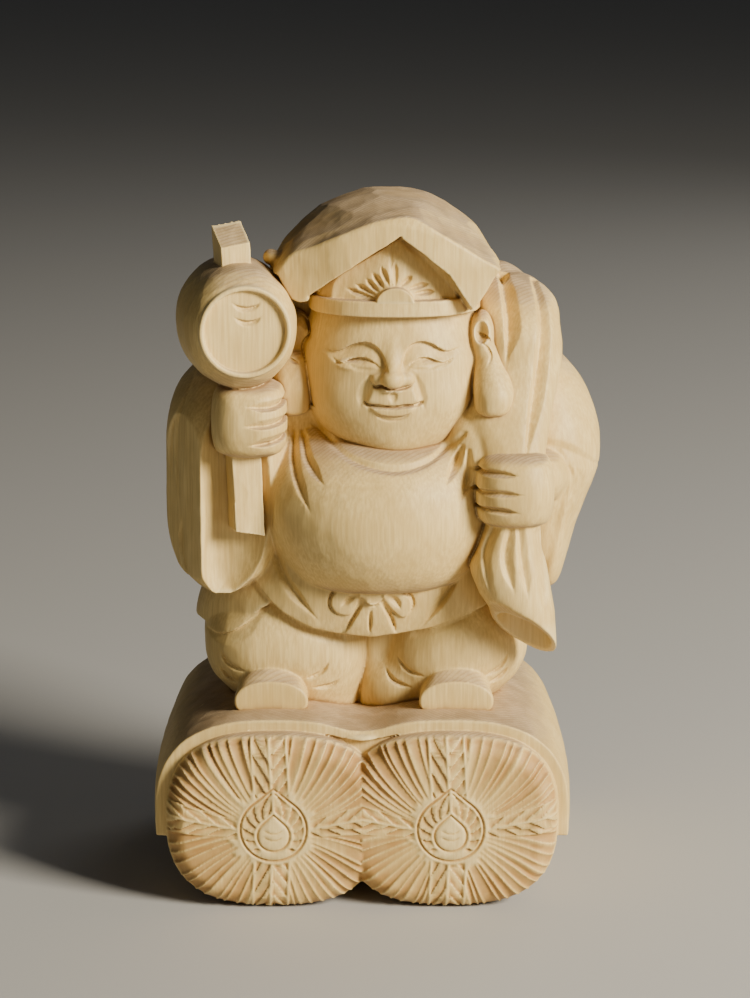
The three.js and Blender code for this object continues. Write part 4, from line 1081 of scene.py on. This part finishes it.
# Painted shade: creases darkened to tan, and the deepest ones to brown.
colour = blend(colour, TAN_CREASE_SHADE, crease.ramp(0.2, 0.8) * 0.4)
colour = blend(colour, BROWN_CREASE_SHADE, crease.ramp(0.6, 1.0) * 0.65)
# Painted shade: honey-brown in the cut grooves of the straw and the boss, stronger in some patches.
colour = blend(colour, HONEY_GROOVE_SHADE, groove.ramp(0.1, 0.55) * (0.45 + patches * 0.4))
# Painted shade: a light tan laid into broad hollows.
colour = blend(colour, TAN_HOLLOW_SHADE, hollow.ramp(0.35, 1.0) * 0.12)
# Painted highlight: pale on the ridges of the carving, and on the straw where its grooves are shallow.
edge_highlight = (ridge.ramp(0.1, 0.6) * (1 - straw) * 0.5).most(straw * groove.ramp(0.14, 0.0) * 0.35)
colour = blend(colour, PALE_EDGE_HIGHLIGHT, edge_highlight)
tree.links.new(colour.socket, shader.inputs["Base Color"])
roughness = 0.46 + end_grain * 0.12 + streak * 0.1 + crease * 0.15 - ridge * 0.1
tree.links.new(roughness.socket, shader.inputs["Roughness"])
relief = streak * 0.35 + fibre * 0.25 + ring_line * end_grain * -0.5 + pores * end_grain * 0.4
bump = start.node("ShaderNodeBump", None, {"Strength": 0.35, "Distance": 0.00012, "Height": relief})
tree.links.new(bump.socket, shader.inputs["Normal"])
shader.inputs["Specular IOR Level"].default_value = 0.4


# The studio. The block stands on a plain pale floor in soft light from the right front, seen at the
# photograph's angle from a little above.
CAMERA_PLACE, CAMERA_TURN, LENS = (-0.0004, -0.70827, 0.26197), 77, 100.03
LIT_MIDDLE = (0, 0, 0.09)
lamps = (("key_light", (0.92, -0.66, 0.62), 0.4, 36, (1, 0.93, 0.79)),
         ("fill_light", (-1.1, -0.9, 0.5), 1.0, 0.5, (0.86, 0.93, 1)),
         ("back_light", (0.7, 1.0, 0.8), 0.8, 2.0, (1, 0.98, 0.95)))
scene = bpy.context.scene
bpy.ops.mesh.primitive_plane_add(size=16)
floor = bpy.context.object
floor.name = "floor"
paint = bpy.data.materials.new("floor_paint")
paint.use_nodes = True
pale = paint.node_tree.nodes["Principled BSDF"].inputs
pale["Base Color"].default_value = (0.46, 0.45, 0.43, 1)
pale["Roughness"].default_value = 0.8
floor.data.materials.append(paint)
for name, place, size, power, tint in lamps:
    lamp = bpy.data.lights.new(name, "AREA")
    lamp.size, lamp.energy, lamp.color = size, power, tint
    holder = bpy.data.objects.new(name, lamp)
    holder.location = place
    holder.rotation_euler = (Vector(LIT_MIDDLE) - Vector(place)).to_track_quat("-Z", "Y").to_euler()
    scene.collection.objects.link(holder)
scene.world = bpy.data.worlds.new("studio")
scene.world.use_nodes = True
room = scene.world.node_tree.nodes["Background"].inputs
room["Color"].default_value = (0.85, 0.88, 0.92, 1)
room["Strength"].default_value = 0.04
lens = bpy.data.cameras.new("camera")
lens.sensor_fit, lens.sensor_height, lens.lens = "VERTICAL", 36, LENS
camera = bpy.data.objects.new("camera", lens)
camera.location = CAMERA_PLACE
camera.rotation_euler = (math.radians(CAMERA_TURN), 0, 0)
scene.collection.objects.link(camera)
bpy.context.scene.camera = camera
